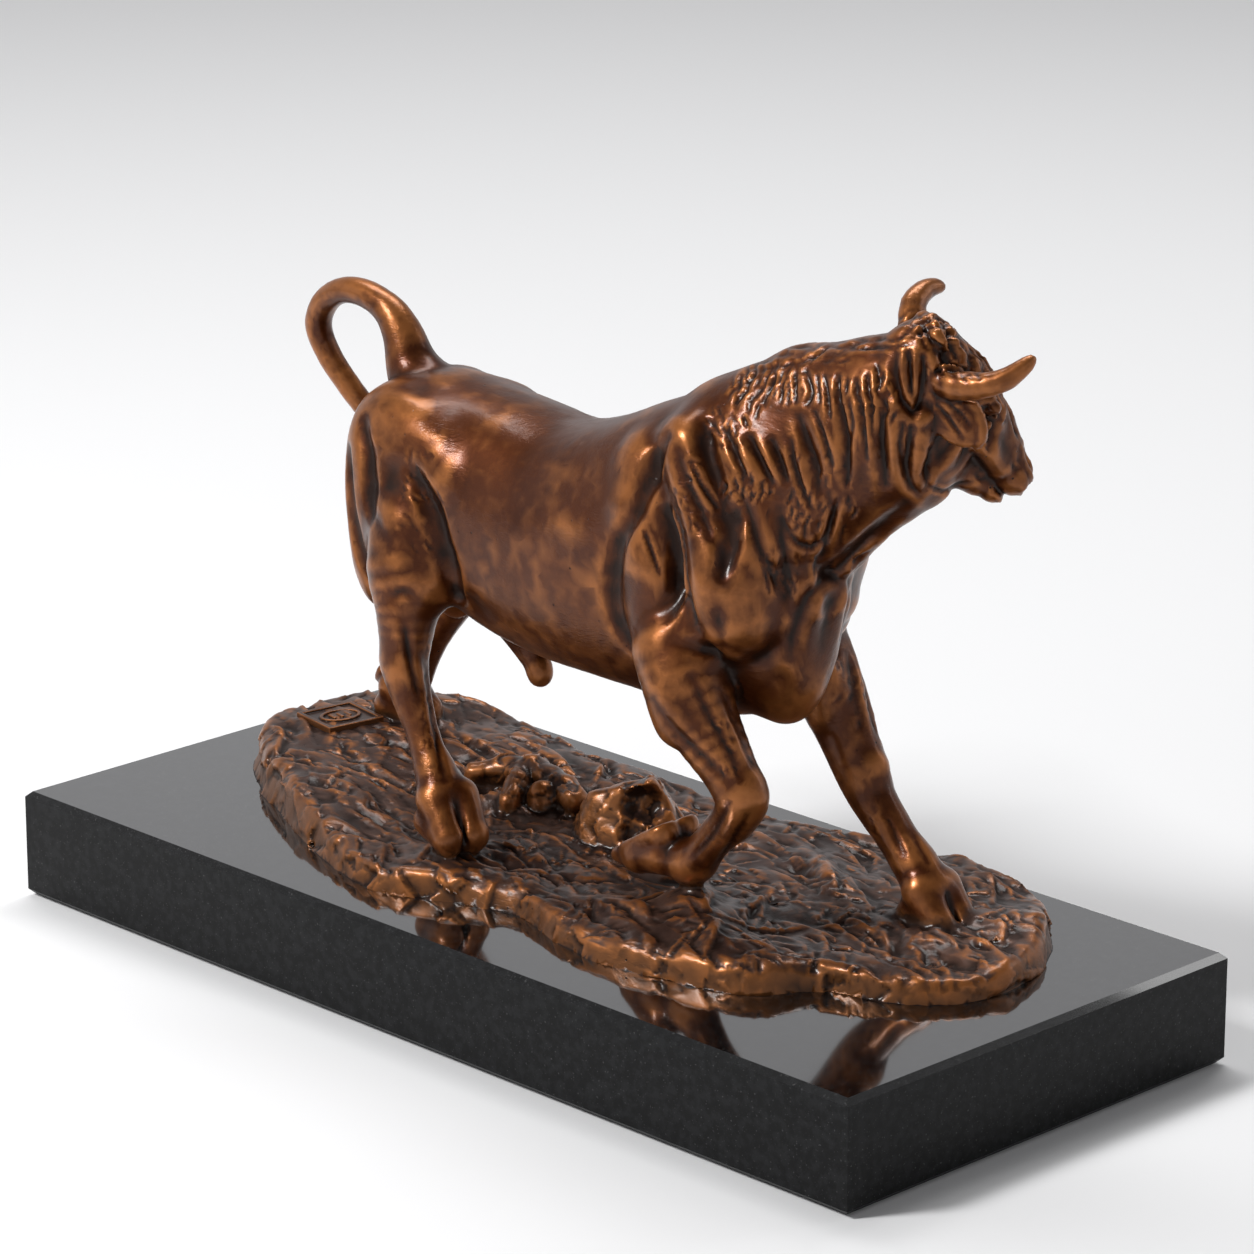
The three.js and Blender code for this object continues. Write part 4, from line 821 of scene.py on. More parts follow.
# Soft valleys and sharp folds: width in picture points, depth in shares, then the routes
VALLEYS = [
    (7.0, 1.2, [(655, 442), (662, 480), (676, 525), (686, 575), (690, 625)]),
    (6.5, 1.3, [(672, 440), (686, 480), (702, 515), (722, 556)]),
    (7.0, 0.8, [(668, 540), (680, 580), (682, 612), (672, 642)]),
    (7.0, 0.8, [(700, 652), (724, 648), (758, 656), (786, 640)]),
    (6.0, 0.9, [(716, 606), (722, 642)]),
    (6.0, 1.6, [(738, 486), (750, 520), (764, 556), (782, 596)]),
    (6.0, 1.6, [(780, 512), (784, 548), (788, 580), (790, 612)]),
    (9.0, 1.4, [(846, 566), (838, 600), (832, 640), (826, 680)]),
    (12.0, 0.8, [(380, 452), (398, 490), (414, 530), (424, 570)]),
    (6.0, 0.7, [(372, 452), (366, 490), (376, 520), (390, 548)]),
    (6.0, 0.8, [(386, 600), (404, 592), (424, 606)]),
    (6.0, 1.1, [(456, 590), (472, 602), (490, 618)]),
    (5.0, 1.0, [(654, 700), (680, 735), (708, 762), (730, 784)]),
    (5.0, 1.1, [(692, 676), (708, 712), (728, 748), (742, 780)]),
    (4.0, 0.7, [(722, 690), (740, 730), (752, 766)]),
    (5.0, 0.9, [(836, 676), (850, 716), (866, 752), (878, 778)]),
    (4.0, 0.9, [(868, 706), (884, 742), (894, 772)]),
    (3.6, 0.9, [(876, 780), (890, 820), (904, 858)]),
    (3.0, 0.7, [(896, 790), (912, 830), (928, 862)]),
    (4.0, 0.9, [(404, 622), (410, 660), (420, 700)]),
    (3.0, 0.9, [(424, 652), (430, 700), (438, 748), (444, 780)]),
    (3.0, 0.7, [(440, 640), (441, 690), (447, 740)]),
    (3.6, 0.9, [(728, 804), (712, 834), (694, 856)]),
    (3.4, 0.8, [(748, 816), (730, 846), (712, 872)]),
]
FOLDS = [
    (3.4, 1.8, [(750, 437), (762, 462), (772, 482)]),
    (3.6, 1.6, [(727, 432), (738, 458), (750, 484)]),
    (3.2, 1.3, [(772, 440), (781, 462), (787, 480)]),
    (5.0, 1.8, [(799, 418), (806, 440), (815, 464), (819, 490)]),
    (3.6, 2.0, [(838, 396), (844, 425), (847, 452), (847, 480)]),
    (2.6, 1.4, [(861, 398), (865, 430), (868, 458)]),
    (5.0, 2.0, [(885, 396), (881, 430), (883, 458), (886, 482)]),
    (2.8, 1.8, [(908, 352), (911, 376), (912, 396)]),
    (4.4, 2.2, [(895, 352), (897, 378), (904, 402), (915, 412), (921, 392), (923, 358)]),
    (4.0, 2.0, [(912, 418), (908, 452), (909, 480), (918, 492)]),
    (3.0, 1.4, [(931, 450), (927, 472), (925, 488)]),
    (3.0, 1.2, [(904, 420), (900, 446), (904, 474)]),
    (6.0, 1.7, [(906, 504), (886, 522), (866, 541), (846, 562), (824, 582), (806, 602), (794, 632),
                (790, 656)]),
    (3.2, 1.0, [(783, 520), (796, 541), (812, 546), (825, 536), (832, 512), (828, 492)]),
    (3.0, 1.3, [(838, 500), (830, 530), (822, 556)]),
    (2.6, 1.2, [(792, 440), (794, 462), (802, 486), (812, 508)]),
    (2.2, 1.1, [(815, 412), (825, 436), (833, 464)]),
    (2.4, 1.0, [(848, 400), (852, 424), (850, 444)]),
    (2.4, 1.0, [(873, 398), (872, 424), (874, 446)]),
    (2.2, 1.1, [(783, 380), (781, 402)]), (2.0, 1.0, [(789, 378), (788, 404)]),
    (2.2, 1.2, [(795, 376), (795, 402)]), (2.6, 1.3, [(807, 374), (812, 392), (807, 405)]),
    (2.2, 1.1, [(817, 376), (820, 402)]), (2.2, 1.2, [(824, 376), (828, 398), (831, 418)]),
    (2.4, 1.3, [(838, 376), (839, 398)]), (2.0, 1.0, [(847, 380), (845, 396)]),
    (2.2, 1.1, [(856, 380), (857, 402)]), (2.2, 1.1, [(867, 376), (869, 396), (873, 412)]),
    (2.2, 1.0, [(877, 366), (880, 386)]),
    (2.4, 1.2, [(690, 462), (702, 486), (716, 508)]), (2.0, 0.9, [(645, 532), (652, 552), (660, 574)]),
    (2.0, 0.8, [(680, 568), (688, 594), (698, 622)]),
    (2.2, 0.9, [(982, 409), (992, 404), (1001, 399)]), (2.0, 0.9, [(983, 419), (993, 418), (1001, 412)]),
    (2.0, 0.8, [(930, 486), (944, 491), (958, 484), (972, 482)]),
    (2.0, 0.7, [(936, 404), (950, 420), (962, 438)]), (1.8, 0.6, [(946, 401), (960, 413), (970, 426)]),
]
# Raised muscle: middle, half sizes along and across, turn in degrees, height in shares
SWELLS = [
    (618, 506, 34, 20, 75, 1.3), (650, 574, 36, 13, 66, 1.0), (706, 588, 44, 18, 80, 0.9),
    (712, 488, 40, 11, 62, 1.1), (572, 528, 20, 18, 0, 0.6), (432, 438, 34, 20, 60, 0.8),
    (436, 530, 34, 9, 76, 0.7), (394, 560, 20, 10, 70, 0.6), (745, 462, 24, 6, 66, 0.9),
    (769, 462, 22, 6, 64, 0.8), (919, 462, 26, 9, 100, 1.3), (894, 452, 24, 7, 98, 1.0),
    (901, 380, 24, 5, 78, 1.1), (916, 376, 22, 4.6, 98, 1.0), (830, 440, 34, 7, 78, 0.9),
    (872, 450, 40, 7, 88, 0.7), (806, 512, 26, 14, 80, 0.8), (866, 740, 26, 9, 66, 0.9),
    (884, 772, 12, 8, 66, 0.8), (560, 470, 26, 16, 10, 0.4), (672, 712, 26, 9, 52, 0.9),
    (716, 720, 34, 8, 62, 0.8), (758, 800, 12, 10, 90, 0.8), (398, 640, 24, 7, 84, 0.6),
]
# Hair: middle, half sizes, direction of the strokes in degrees, how many, their length, width and depth
HAIR = [
    (764, 386, 34, 24, 118, 50, 20, 1.6, 0.5), (800, 360, 60, 12, 150, 30, 14, 1.5, 0.35),
    (850, 346, 60, 6, 172, 30, 18, 1.5, 0.4), (905, 330, 26, 12, 160, 30, 14, 1.7, 0.5),
    (940, 336, 24, 18, 60, 34, 13, 1.9, 0.6), (970, 362, 14, 18, 45, 14, 12, 1.8, 0.5),
    (934, 366, 14, 16, 75, 14, 10, 1.6, 0.4), (880, 400, 26, 26, 100, 30, 14, 1.5, 0.45),
    (820, 500, 40, 50, 108, 44, 12, 1.5, 0.4), (725, 430, 22, 26, 70, 24, 10, 1.5, 0.4),
    (748, 488, 26, 12, 100, 24, 9, 1.5, 0.5), (690, 500, 16, 40, 60, 24, 10, 1.4, 0.35),
    (780, 570, 20, 30, 72, 22, 12, 1.5, 0.35), (660, 760, 24, 30, 60, 12, 9, 1.4, 0.3),
    (420, 500, 24, 50, 60, 24, 10, 1.4, 0.3), (735, 730, 24, 50, 60, 24, 9, 1.4, 0.3),
    (430, 700, 10, 60, 84, 20, 9, 1.3, 0.3), (880, 780, 16, 60, 66, 22, 9, 1.4, 0.3),
]
HAIR_SEED, GOUGE_SEED = 5, 23
# How high the lip beside each kind of mark stands, as a share of the mark's depth
VALLEY_LIP, FOLD_LIP, HAIR_LIP = 0.15, 0.3, 0.35


def seen_from_camera(p):
    """Where points of the figure are seen, in picture points."""
    right, up, back = camera_axes()
    d = p * SHARE + (0, 0, PLINTH_TOP) - CAMERA_TARGET - back * CAMERA_DISTANCE
    depth = -(d @ back)
    return np.column_stack([PHOTO_PIXELS / 2 + FOCAL_PIXELS * (d @ right) / depth,
                            PHOTO_PIXELS / 2 - FOCAL_PIXELS * (d @ up) / depth])


class Marks:
    """Points of a picture sorted into squares, so that each mark looks at the squares it crosses."""

    def __init__(self, seen, square=24.0):
        self.seen, self.square = seen, square
        cells = np.floor(seen / square).astype(int)
        order = np.lexsort((cells[:, 1], cells[:, 0]))
        keys, starts = np.unique(cells[order], axis=0, return_index=True)
        self.found = dict(zip(map(tuple, keys), np.split(order, starts[1:])))

    def near(self, low, high):
        x0, y0 = np.floor(np.asarray(low) / self.square).astype(int)
        x1, y1 = np.floor(np.asarray(high) / self.square).astype(int)
        squares = [(i, j) for i in range(x0, x1 + 1) for j in range(y0, y1 + 1)]
        found = [self.found[square] for square in squares if square in self.found]
        return np.concatenate(found) if found else np.zeros(0, int)


def press(marks, total, path, width, depth, lip):
    """Sinks a groove along a path, with a low swelling on both sides of it."""
    near = marks.near(path.min(0) - 4 * width, path.max(0) + 4 * width)
    if not len(near):
        return
    q = marks.seen[near]
    best = np.full(len(near), 1e9)
    place = np.zeros(len(near))
    for i, (a, b) in enumerate(zip(path[:-1], path[1:])):
        t = np.clip((q - a) @ (b - a) / ((b - a) @ (b - a)), 0, 1)
        far = np.hypot(*(q - a - t[:, None] * (b - a)).T)
        closer = far < best
        place[closer] = (i + t[closer]) / (len(path) - 1)
        best[closer] = far[closer]
    fade = np.sin(np.pi * np.clip(0.06 + 0.88 * place, 0, 1)) ** 0.7
    groove = lip * np.exp(-((best - 2.2 * width) / (1.1 * width)) ** 2) - np.exp(-(best / width) ** 2)
    np.add.at(total, near, depth * fade * groove)


def swell(marks, total, x, y, along, across, turn, height):
    """Raises a soft oval."""
    reach = 2.4 * max(along, across)
    near = marks.near((x - reach, y - reach), (x + reach, y + reach))
    if not len(near):
        return
    d = marks.seen[near] - (x, y)
    c, s = math.cos(math.radians(turn)), math.sin(math.radians(turn))
    u, v = (d @ (c, s)) / along, (d @ (-s, c)) / across
    np.add.at(total, near, height * np.exp(-(u * u + v * v) * 0.9))


def hair_paths():
    random = np.random.default_rng(HAIR_SEED)
    for x, y, half_x, half_y, turn, count, length, width, depth in HAIR:
        for _ in range(count):
            angle, far = random.uniform(0, 2 * math.pi), math.sqrt(random.uniform(0, 1))
            middle = np.array([x + half_x * far * math.cos(angle), y + half_y * far * math.sin(angle)])
            way = math.radians(turn + random.normal(0, 11))
            ahead = np.array([math.cos(way), math.sin(way)]) * length * random.uniform(0.35, 0.65)
            bow = np.array([-ahead[1], ahead[0]]) * random.uniform(-0.22, 0.22)
            path = curve([middle - ahead, middle + bow, middle + ahead], 7)
            yield path, width * random.uniform(0.85, 1.3), depth * random.uniform(0.6, 1.2)


def side_relief(points, normals):
    """The marks of the bull's right side and, mirrored, the same marks on its left."""
    back = camera_axes()[2]
    total = np.zeros(len(points))
    hairs = list(hair_paths())
    for side in (1, -1):
        mirror = np.array([1.0, side, 1.0])
        facing = smooth(0.0, 0.3, (normals * mirror) @ back)
        # The near side's marks stay off whatever is seen past it on the other side.
        near_side = smooth(-12, -2, -side * points[:, 1] + 0.42 * np.maximum(points[:, 0] - 70, 0))
        here = np.nonzero(facing * near_side * smooth(16, 22, points[:, 2]) > 0)[0]
        marks = Marks(seen_from_camera(points[here] * mirror))
        relief = np.zeros(len(here))
        for table, lip in ((VALLEYS, VALLEY_LIP), (FOLDS, FOLD_LIP)):
            for width, depth, route in table:
                press(marks, relief, curve(route, 5 * len(route)), width, depth, lip)
        for mark in SWELLS:
            swell(marks, relief, *mark)
        for path, width, depth in hairs:
            press(marks, relief, path, width, depth, HAIR_LIP)
        total[here] += relief * facing[here] * near_side[here]
    return total


# Tool marks in the ground: how many, then the least and most of half length, half width and depth
GOUGES = [(150, (7, 15), (2.2, 4.0), (0.5, 1.2)), (460, (2.6, 8), (1.0, 1.7), (0.3, 0.85))]


def gouges(points, normals):
    """Scoops and drags of the modelling tool in the ground, each with a lip pushed up beside it."""
    random = np.random.default_rng(GOUGE_SEED)
    marks = Marks(points[:, :2], 8.0)
    total = np.zeros(len(points))
    for count, lengths, widths, depths in GOUGES:
        for _ in range(count):
            x, y = random.uniform(-170, 172), random.uniform(-66, 82)
            turn = math.radians(FLOW_TURN + random.normal(0, 30))
            along, across = random.uniform(*lengths), random.uniform(*widths)
            depth = random.uniform(*depths)
            near = marks.near((x - 2.4 * along, y - 2.4 * along), (x + 2.4 * along, y + 2.4 * along))
            if not len(near):
                continue
            d = points[near, :2] - (x, y)
            u = (d @ (math.cos(turn), math.sin(turn))) / along
            v = (d @ (-math.sin(turn), math.cos(turn))) / across + 0.25 * u * u
            scoop = np.exp(-u ** 4 - np.maximum(v, 0) ** 2) * smooth(-1.0, -0.6, v)
            lip = np.exp(-u * u - ((v + 1.2) / 0.45) ** 2)
            np.add.at(total, near, depth * (0.5 * lip - scoop))
    return total * smooth(0.25, 0.7, normals[:, 2])


# Ovals that hold the boulder and the ledge: middle x and y, half length, half width, and the top
ROCK_OVALS = [(-2, 16, 26, 20, 36), (-51, 14, 33, 15, 25)]


def on_rocks(points):
    """One on the boulder and the ledge."""
    high = smooth(1.5, 4.0, points[:, 2] - ground_height(points[:, 0], points[:, 1]))
    share = np.zeros(len(points))
    for x, y, half_length, half_width, top in ROCK_OVALS:
        far = np.hypot((points[:, 0] - x) / half_length, (points[:, 1] - y) / half_width)
        share = np.maximum(share, (1 - smooth(0.85, 1, far)) * (points[:, 2] < top))
    return share * high


def on_ground(points):
    """One on the modelled ground and its rocks, nothing on the bull."""
    over = points[:, 2] - ground_height(points[:, 0], points[:, 1])
    return np.maximum(1 - smooth(2.0, 4.5, over), on_rocks(points))


def surface_detail(points, normals):
    """How far the skin stands out, in the figure's shares, over the plain masses."""
    earth, rocks_here = on_ground(points), on_rocks(points)
    cast = 0.15 * noise(points / 5.5) + 0.10 * noise(points / 2.6 + 31)
    stone = 0.4 * facets(points / (13, 13, 9), 1.4) + 0.2 * noise(points / 4.2 + 9)
    crag = 1.0 * facets(points / (7, 7, 6), 1.5) + 0.4 * noise(points / 3 + 5)
    steep = 1 - smooth(0.5, 0.85, normals[:, 2])
    scoops = gouges(points, normals) * (1 - rocks_here)
    ground_relief = scoops + stone * (0.15 + 0.85 * steep) + crag * rocks_here
    return cast + (1 - earth) * side_relief(points, normals) + earth * ground_relief


# Meshes

def mesh_object(name, points, faces, rounded=True):
    mesh = bpy.data.meshes.new(name)
    mesh.vertices.add(len(points))
    mesh.vertices.foreach_set("co", np.asarray(points, np.float32).ravel())
    faces = np.asarray(faces, np.int32)
    sides = faces.shape[1]
    mesh.loops.add(faces.size)
    mesh.loops.foreach_set("vertex_index", faces.ravel())
    mesh.polygons.add(len(faces))
    mesh.polygons.foreach_set("loop_start", np.arange(len(faces), dtype=np.int32) * sides)
    mesh.polygons.foreach_set("use_smooth", np.full(len(faces), rounded))
    mesh.update(calc_edges=True)
    mesh.validate()
    piece = bpy.data.objects.new(name, mesh)
    bpy.context.scene.collection.objects.link(piece)
    return piece


def apply_modifiers(piece):
    graph = bpy.context.evaluated_depsgraph_get()
    made = bpy.data.meshes.new_from_object(piece.evaluated_get(graph))
    old = piece.data
    piece.modifiers.clear()
    piece.data = made
    bpy.data.meshes.remove(old)


def read_mesh(mesh):
    points = np.empty(len(mesh.vertices) * 3)
    mesh.vertices.foreach_get("co", points)
    normals = np.empty(len(mesh.vertices) * 3)
    mesh.vertices.foreach_get("normal", normals)
    edges = np.empty(len(mesh.edges) * 2, np.int32)
    mesh.edges.foreach_get("vertices", edges)
    return points.reshape(-1, 3), normals.reshape(-1, 3), edges.reshape(-1, 2)


def quad_normals(points, quads):
    cross = np.cross(points[quads[:, 2]] - points[quads[:, 0]], points[quads[:, 3]] - points[quads[:, 1]])
    total = np.column_stack([np.bincount(quads.ravel(), np.repeat(cross[:, axis], 4), len(points))
                             for axis in range(3)])
    return total / np.maximum(np.linalg.norm(total, axis=1), 1e-12)[:, None]


def spread(values, edges, rounds):
    """Each point's value averaged with its neighbours', a number of times over."""
    count = np.maximum(np.bincount(edges.ravel(), minlength=len(values)), 1)
    for _ in range(rounds):
        columns = []
        for column in values.T:
            total = np.bincount(edges[:, 0], column[edges[:, 1]], len(values))
            total += np.bincount(edges[:, 1], column[edges[:, 0]], len(values))
            columns.append(0.5 * column + 0.5 * total / count)
        values = np.column_stack(columns)
    return values


def add_attribute(mesh, name, values):
    attribute = mesh.attributes.new(name, "FLOAT", "POINT")
    attribute.data.foreach_set("value", np.asarray(values, np.float32))


def make_bronze():
    masses = ground() + rocks() + seal_pad() + bull()
    values, low = sample(masses, FIGURE_LOW, FIGURE_HIGH, LATTICE_STEP)
    close_pinches(values)
    points, quads = surface(values, low, LATTICE_STEP)
    normals = quad_normals(points, quads)
    points = points + normals * surface_detail(points, normals)[:, None]
    points[:, 2] = np.maximum(points[:, 2], 0)
    piece = mesh_object("bronze_bull_cast", points * SHARE + (0, 0, PLINTH_TOP), quads)
    thin = piece.modifiers.new("thin", "DECIMATE")
    thin.ratio = BRONZE_TRIANGLES / (2 * len(quads))
    apply_modifiers(piece)
    mark_wear(piece.data)
    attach(piece, "root")
    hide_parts("bronze_bull")
    return piece


# A point is compared with the skin round it, after this many rounds of averaging.
NEAR_ROUNDS, WIDE_ROUNDS = 4, 24
# How strongly close and wide hollows, and close and wide edges, show in the wear
HOLLOW_NEAR, HOLLOW_WIDE, EDGE_NEAR, EDGE_WIDE = 4.0, 0.8, 5.0, 0.9
# Broad forms, which are only slightly rounded, keep their patina.
RUB_START = 0.5


def mark_wear(mesh, sharpness=1.0):
    """Where the patina is rubbed off, where it gathers, and what is ground rather than bull."""
    points, normals, edges = read_mesh(mesh)
    near = (normals * (spread(points, edges, NEAR_ROUNDS) - points)).sum(1) / SHARE
    wide = (normals * (spread(points, edges, WIDE_ROUNDS) - points)).sum(1) / SHARE
    hollow = sharpness * (near * HOLLOW_NEAR + wide * HOLLOW_WIDE)
    edge = -sharpness * (near * EDGE_NEAR + wide * EDGE_WIDE) - RUB_START
    add_attribute(mesh, "hollow", np.clip(hollow, 0, 1))
    add_attribute(mesh, "edge", np.clip(edge, 0, 1))
    add_attribute(mesh, "ground", on_ground((points - (0, 0, PLINTH_TOP)) / SHARE))


# The seal's rounded arris and the cell it is remeshed with, in metres, and how strongly its wear shows
SEAL_ARRIS, SEAL_VOXEL, SEAL_SHARPNESS = 0.00016, 0.0002, 8.0
WELD_GAP = 1e-6


def make_seal():
    """The seal's plate with its arrises rounded as they are on a casting."""
    plate = bpy.data.objects.new("foundry_seal_cast", bpy.data.objects["foundry_seal"].data.copy())
    bpy.context.scene.collection.objects.link(plate)
    weld = plate.modifiers.new("weld", "WELD")
    weld.merge_threshold = WELD_GAP
    bevel = plate.modifiers.new("bevel", "BEVEL")
    bevel.width, bevel.segments, bevel.limit_method = SEAL_ARRIS, 2, "ANGLE"
    fine = plate.modifiers.new("fine", "REMESH")
    fine.mode, fine.voxel_size = "VOXEL", SEAL_VOXEL
    apply_modifiers(plate)
    plate.data.polygons.foreach_set("use_smooth", np.full(len(plate.data.polygons), True))
    mark_wear(plate.data, SEAL_SHARPNESS)
    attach(plate, "root")
    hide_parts("foundry_seal")
    return plate


# Materials

class Graph:
    """A short way to write a material's nodes."""

    def __init__(self, name):
        self.material = bpy.data.materials.new(name)
        self.material.use_nodes = True
        self.nodes, self.links = self.material.node_tree.nodes, self.material.node_tree.links
        self.shader = self.nodes["Principled BSDF"]
        self.place = self.nodes.new("ShaderNodeTexCoord").outputs["Object"]

    def set(self, name, value):
        self.shader.inputs[name].default_value = value

    def link(self, value, socket):
        if isinstance(value, bpy.types.NodeSocket):
            self.links.new(value, socket)
        else:
            socket.default_value = value

    def add(self, kind, inputs):
        """A new node with its inputs linked or set by name."""
        node = self.nodes.new("ShaderNode" + kind)
        for name, value in inputs.items():
            self.link(value, node.inputs[name])
        return node

    def attribute(self, name):
        node = self.add("Attribute", {})
        node.attribute_name = name
        return node.outputs["Fac"]

    def scaled(self, scale, turn):
        inputs = {"Vector": self.place, "Scale": scale, "Rotation": turn}
        return self.add("Mapping", inputs).outputs["Vector"]

    def noise(self, scale, detail, rough, warp=0.0, place=None):
        inputs = {"Vector": place or self.place, "Scale": scale, "Detail": detail,
                  "Roughness": rough, "Distortion": warp}
        return self.add("TexNoise", inputs).outputs["Fac"]

    def cells(self, scale):
        inputs = {"Vector": self.place, "Scale": scale}
        return self.add("TexVoronoi", inputs).outputs["Distance"]

    def ramp(self, value, low, high, start=0.0, end=1.0):
        inputs = {"Value": value, "From Min": low, "From Max": high, "To Min": start, "To Max": end}
        node = self.add("MapRange", inputs)
        node.interpolation_type = "SMOOTHSTEP"
        return node.outputs["Result"]

    def facing_up(self):
        way = self.add("NewGeometry", {})
        return self.add("SeparateXYZ", {"Vector": way.outputs["Normal"]}).outputs["Z"]

    def math(self, operation, a, b=0.0, clamp=False):
        node = self.nodes.new("ShaderNodeMath")
        node.operation = operation
        node.use_clamp = clamp
        self.link(a, node.inputs[0])
        self.link(b, node.inputs[1])
        return node.outputs[0]

    def mix(self, share, a, b):
        node = self.nodes.new("ShaderNodeMix")
        node.data_type = "RGBA"
        self.link(share, node.inputs["Factor"])
        self.link(a if isinstance(a, bpy.types.NodeSocket) else (*a, 1), node.inputs[6])
        self.link(b if isinstance(b, bpy.types.NodeSocket) else (*b, 1), node.inputs[7])
        return node.outputs[2]

    def bump(self, height, strength, distance, under=None):
        inputs = {"Height": height, "Strength": strength, "Distance": distance}
        if under:
            inputs["Normal"] = under
        return self.add("Bump", inputs).outputs["Normal"]


def paint(piece, material):
    piece.data.materials.clear()
    piece.data.materials.append(material)


DEEP_BROWN = (0.010, 0.0045, 0.003)
ORANGE_BROWN = (0.32, 0.112, 0.030)
BODY_DARK, BODY_LIGHT = (0.052, 0.0115, 0.0022), (0.084, 0.0205, 0.0036)
BODY_FLECK = (0.12, 0.035, 0.007)
# The ground's steep rim faces take a warmer, lighter brown: partly rubbed bronze, partly painted light that
# makes the rim look lit.
RUBBED_AND_LIT_RIM_BROWN = (0.150, 0.056, 0.017)
EARTH_DARK, EARTH_LIGHT = (0.045, 0.024, 0.019), (0.095, 0.050, 0.036)
METAL_SHARE, SPECULAR_LEVEL = 0.62, 0.12
WAX_WEIGHT, WAX_ROUGHNESS, WAX_IOR = 0.32, 0.2, 1.5
PATINA_ROUGHNESS, HOLLOW_ROUGHNESS, GROUND_ROUGHNESS = (0.30, 0.42), 0.25, 0.06
# How many of each pattern there are to the metre
CLOUDS, FLECKS, STREAKS, PITS, PIT_PATCHES, CHASING_PATCHES = 30, 240, 70, 230, 45, 40
# Chasing marks are three times as close in height as along and across, and are turned a little.
CHASING, CHASING_TURN = (300, 300, 900), (0.3, 0.5, 0.2)


def bronze_material(name):
    """Brown patina under wax: dark in hollows, rubbed to orange on edges, with casting pits and chasing."""
    graph = Graph(name)
    hollow, edge = graph.attribute("hollow"), graph.attribute("edge")
    ground_part = graph.attribute("ground")
    cloud = graph.noise(CLOUDS, 5, 0.6)
    fleck = graph.noise(FLECKS, 4, 0.65)
    body = graph.mix(graph.ramp(cloud, 0.28, 0.62), BODY_DARK, BODY_LIGHT)
    body = graph.mix(graph.math("MULTIPLY", graph.ramp(fleck, 0.46, 0.7), 0.4), body, BODY_FLECK)
    earth = graph.mix(graph.ramp(cloud, 0.35, 0.65), EARTH_DARK, EARTH_LIGHT)
    # Steep faces of the ground turn to the rim brown: partly rubbed bronze, partly painted light on the rim.
    steep = graph.ramp(graph.facing_up(), 0.4, 0.8, 1.0, 0.0)
    earth = graph.mix(steep, earth, RUBBED_AND_LIT_RIM_BROWN)
    base = graph.mix(ground_part, body, earth)
    streak = graph.noise(STREAKS, 4, 0.6)
    worn = graph.math("MULTIPLY", edge, graph.ramp(streak, 0.3, 0.6, 0.3, 1.0), clamp=True)
    base = graph.mix(worn, base, ORANGE_BROWN)
    base = graph.mix(graph.math("MULTIPLY", hollow, 0.88), base, DEEP_BROWN)
    pits = graph.ramp(graph.cells(PITS), 0.05, 0.12)
    pit_field = graph.ramp(graph.noise(PIT_PATCHES, 2, 0.5), 0.56, 0.64)
    pits = graph.math("MAXIMUM", pits, graph.math("SUBTRACT", 1.0, pit_field))
    base = graph.mix(pits, DEEP_BROWN, base)
    graph.link(base, graph.shader.inputs["Base Color"])
    graph.set("Metallic", METAL_SHARE)
    graph.set("Specular IOR Level", SPECULAR_LEVEL)
    rough = graph.ramp(cloud, 0.3, 0.7, *PATINA_ROUGHNESS)
    rough = graph.math("ADD", rough, graph.math("MULTIPLY", hollow, HOLLOW_ROUGHNESS), clamp=True)
    rough = graph.math("ADD", rough, graph.math("MULTIPLY", ground_part, GROUND_ROUGHNESS), clamp=True)
    graph.link(rough, graph.shader.inputs["Roughness"])
    graph.set("Coat Weight", WAX_WEIGHT)
    graph.set("Coat Roughness", WAX_ROUGHNESS)
    graph.set("Coat IOR", WAX_IOR)
    chasing = graph.noise(1.0, 3, 0.6, 1.2, graph.scaled(CHASING, CHASING_TURN))
    chasing_field = graph.ramp(graph.noise(CHASING_PATCHES, 2, 0.5), 0.45, 0.62, 0.25, 1.0)
    normal = graph.bump(graph.math("MULTIPLY", chasing, chasing_field), 0.35, 0.0004)
    normal = graph.bump(fleck, 0.22, 0.0003, normal)
    normal = graph.bump(pits, 0.5, 0.0004, normal)
    graph.link(normal, graph.shader.inputs["Normal"])
    graph.link(normal, graph.shader.inputs["Coat Normal"])
    return graph.material


GRANITE_DARK, GRANITE_LIGHT = (0.0025, 0.0026, 0.0028), (0.0085, 0.0088, 0.0095)
SPECK_GREY, GLINT_GREY = (0.085, 0.085, 0.085), (0.16, 0.16, 0.15)
SPECKS, GLINTS, GRAINS = 1000, 430, 280
HONED_ROUGHNESS, POLISHED_ROUGHNESS = 0.42, 0.09
STONE_IOR, POLISH_IOR, POLISH_ROUGHNESS = 1.25, 2.8, 0.05


def granite_material():
    """Black granite with fine specks, polished where it faces up and honed on its sides."""
    graph = Graph("black_granite")
    speck = graph.ramp(graph.noise(SPECKS, 2, 0.5), 0.64, 0.72)
    glint = graph.ramp(graph.cells(GLINTS), 0.0, 0.13, 1.0, 0.0)
    grain = graph.ramp(graph.noise(GRAINS, 3, 0.6), 0.4, 0.65)
    base = graph.mix(grain, GRANITE_DARK, GRANITE_LIGHT)
    base = graph.mix(graph.math("MULTIPLY", speck, 0.5), base, SPECK_GREY)
    base = graph.mix(graph.math("MULTIPLY", glint, 0.3), base, GLINT_GREY)
    graph.link(base, graph.shader.inputs["Base Color"])
    top = graph.ramp(graph.facing_up(), 0.5, 0.9)
    rough = graph.ramp(top, 0, 1, HONED_ROUGHNESS, POLISHED_ROUGHNESS)
    graph.link(rough, graph.shader.inputs["Roughness"])
    graph.set("IOR", STONE_IOR)
    graph.link(top, graph.shader.inputs["Coat Weight"])
    graph.set("Coat Roughness", POLISH_ROUGHNESS)
    graph.set("Coat IOR", POLISH_IOR)
    return graph.material


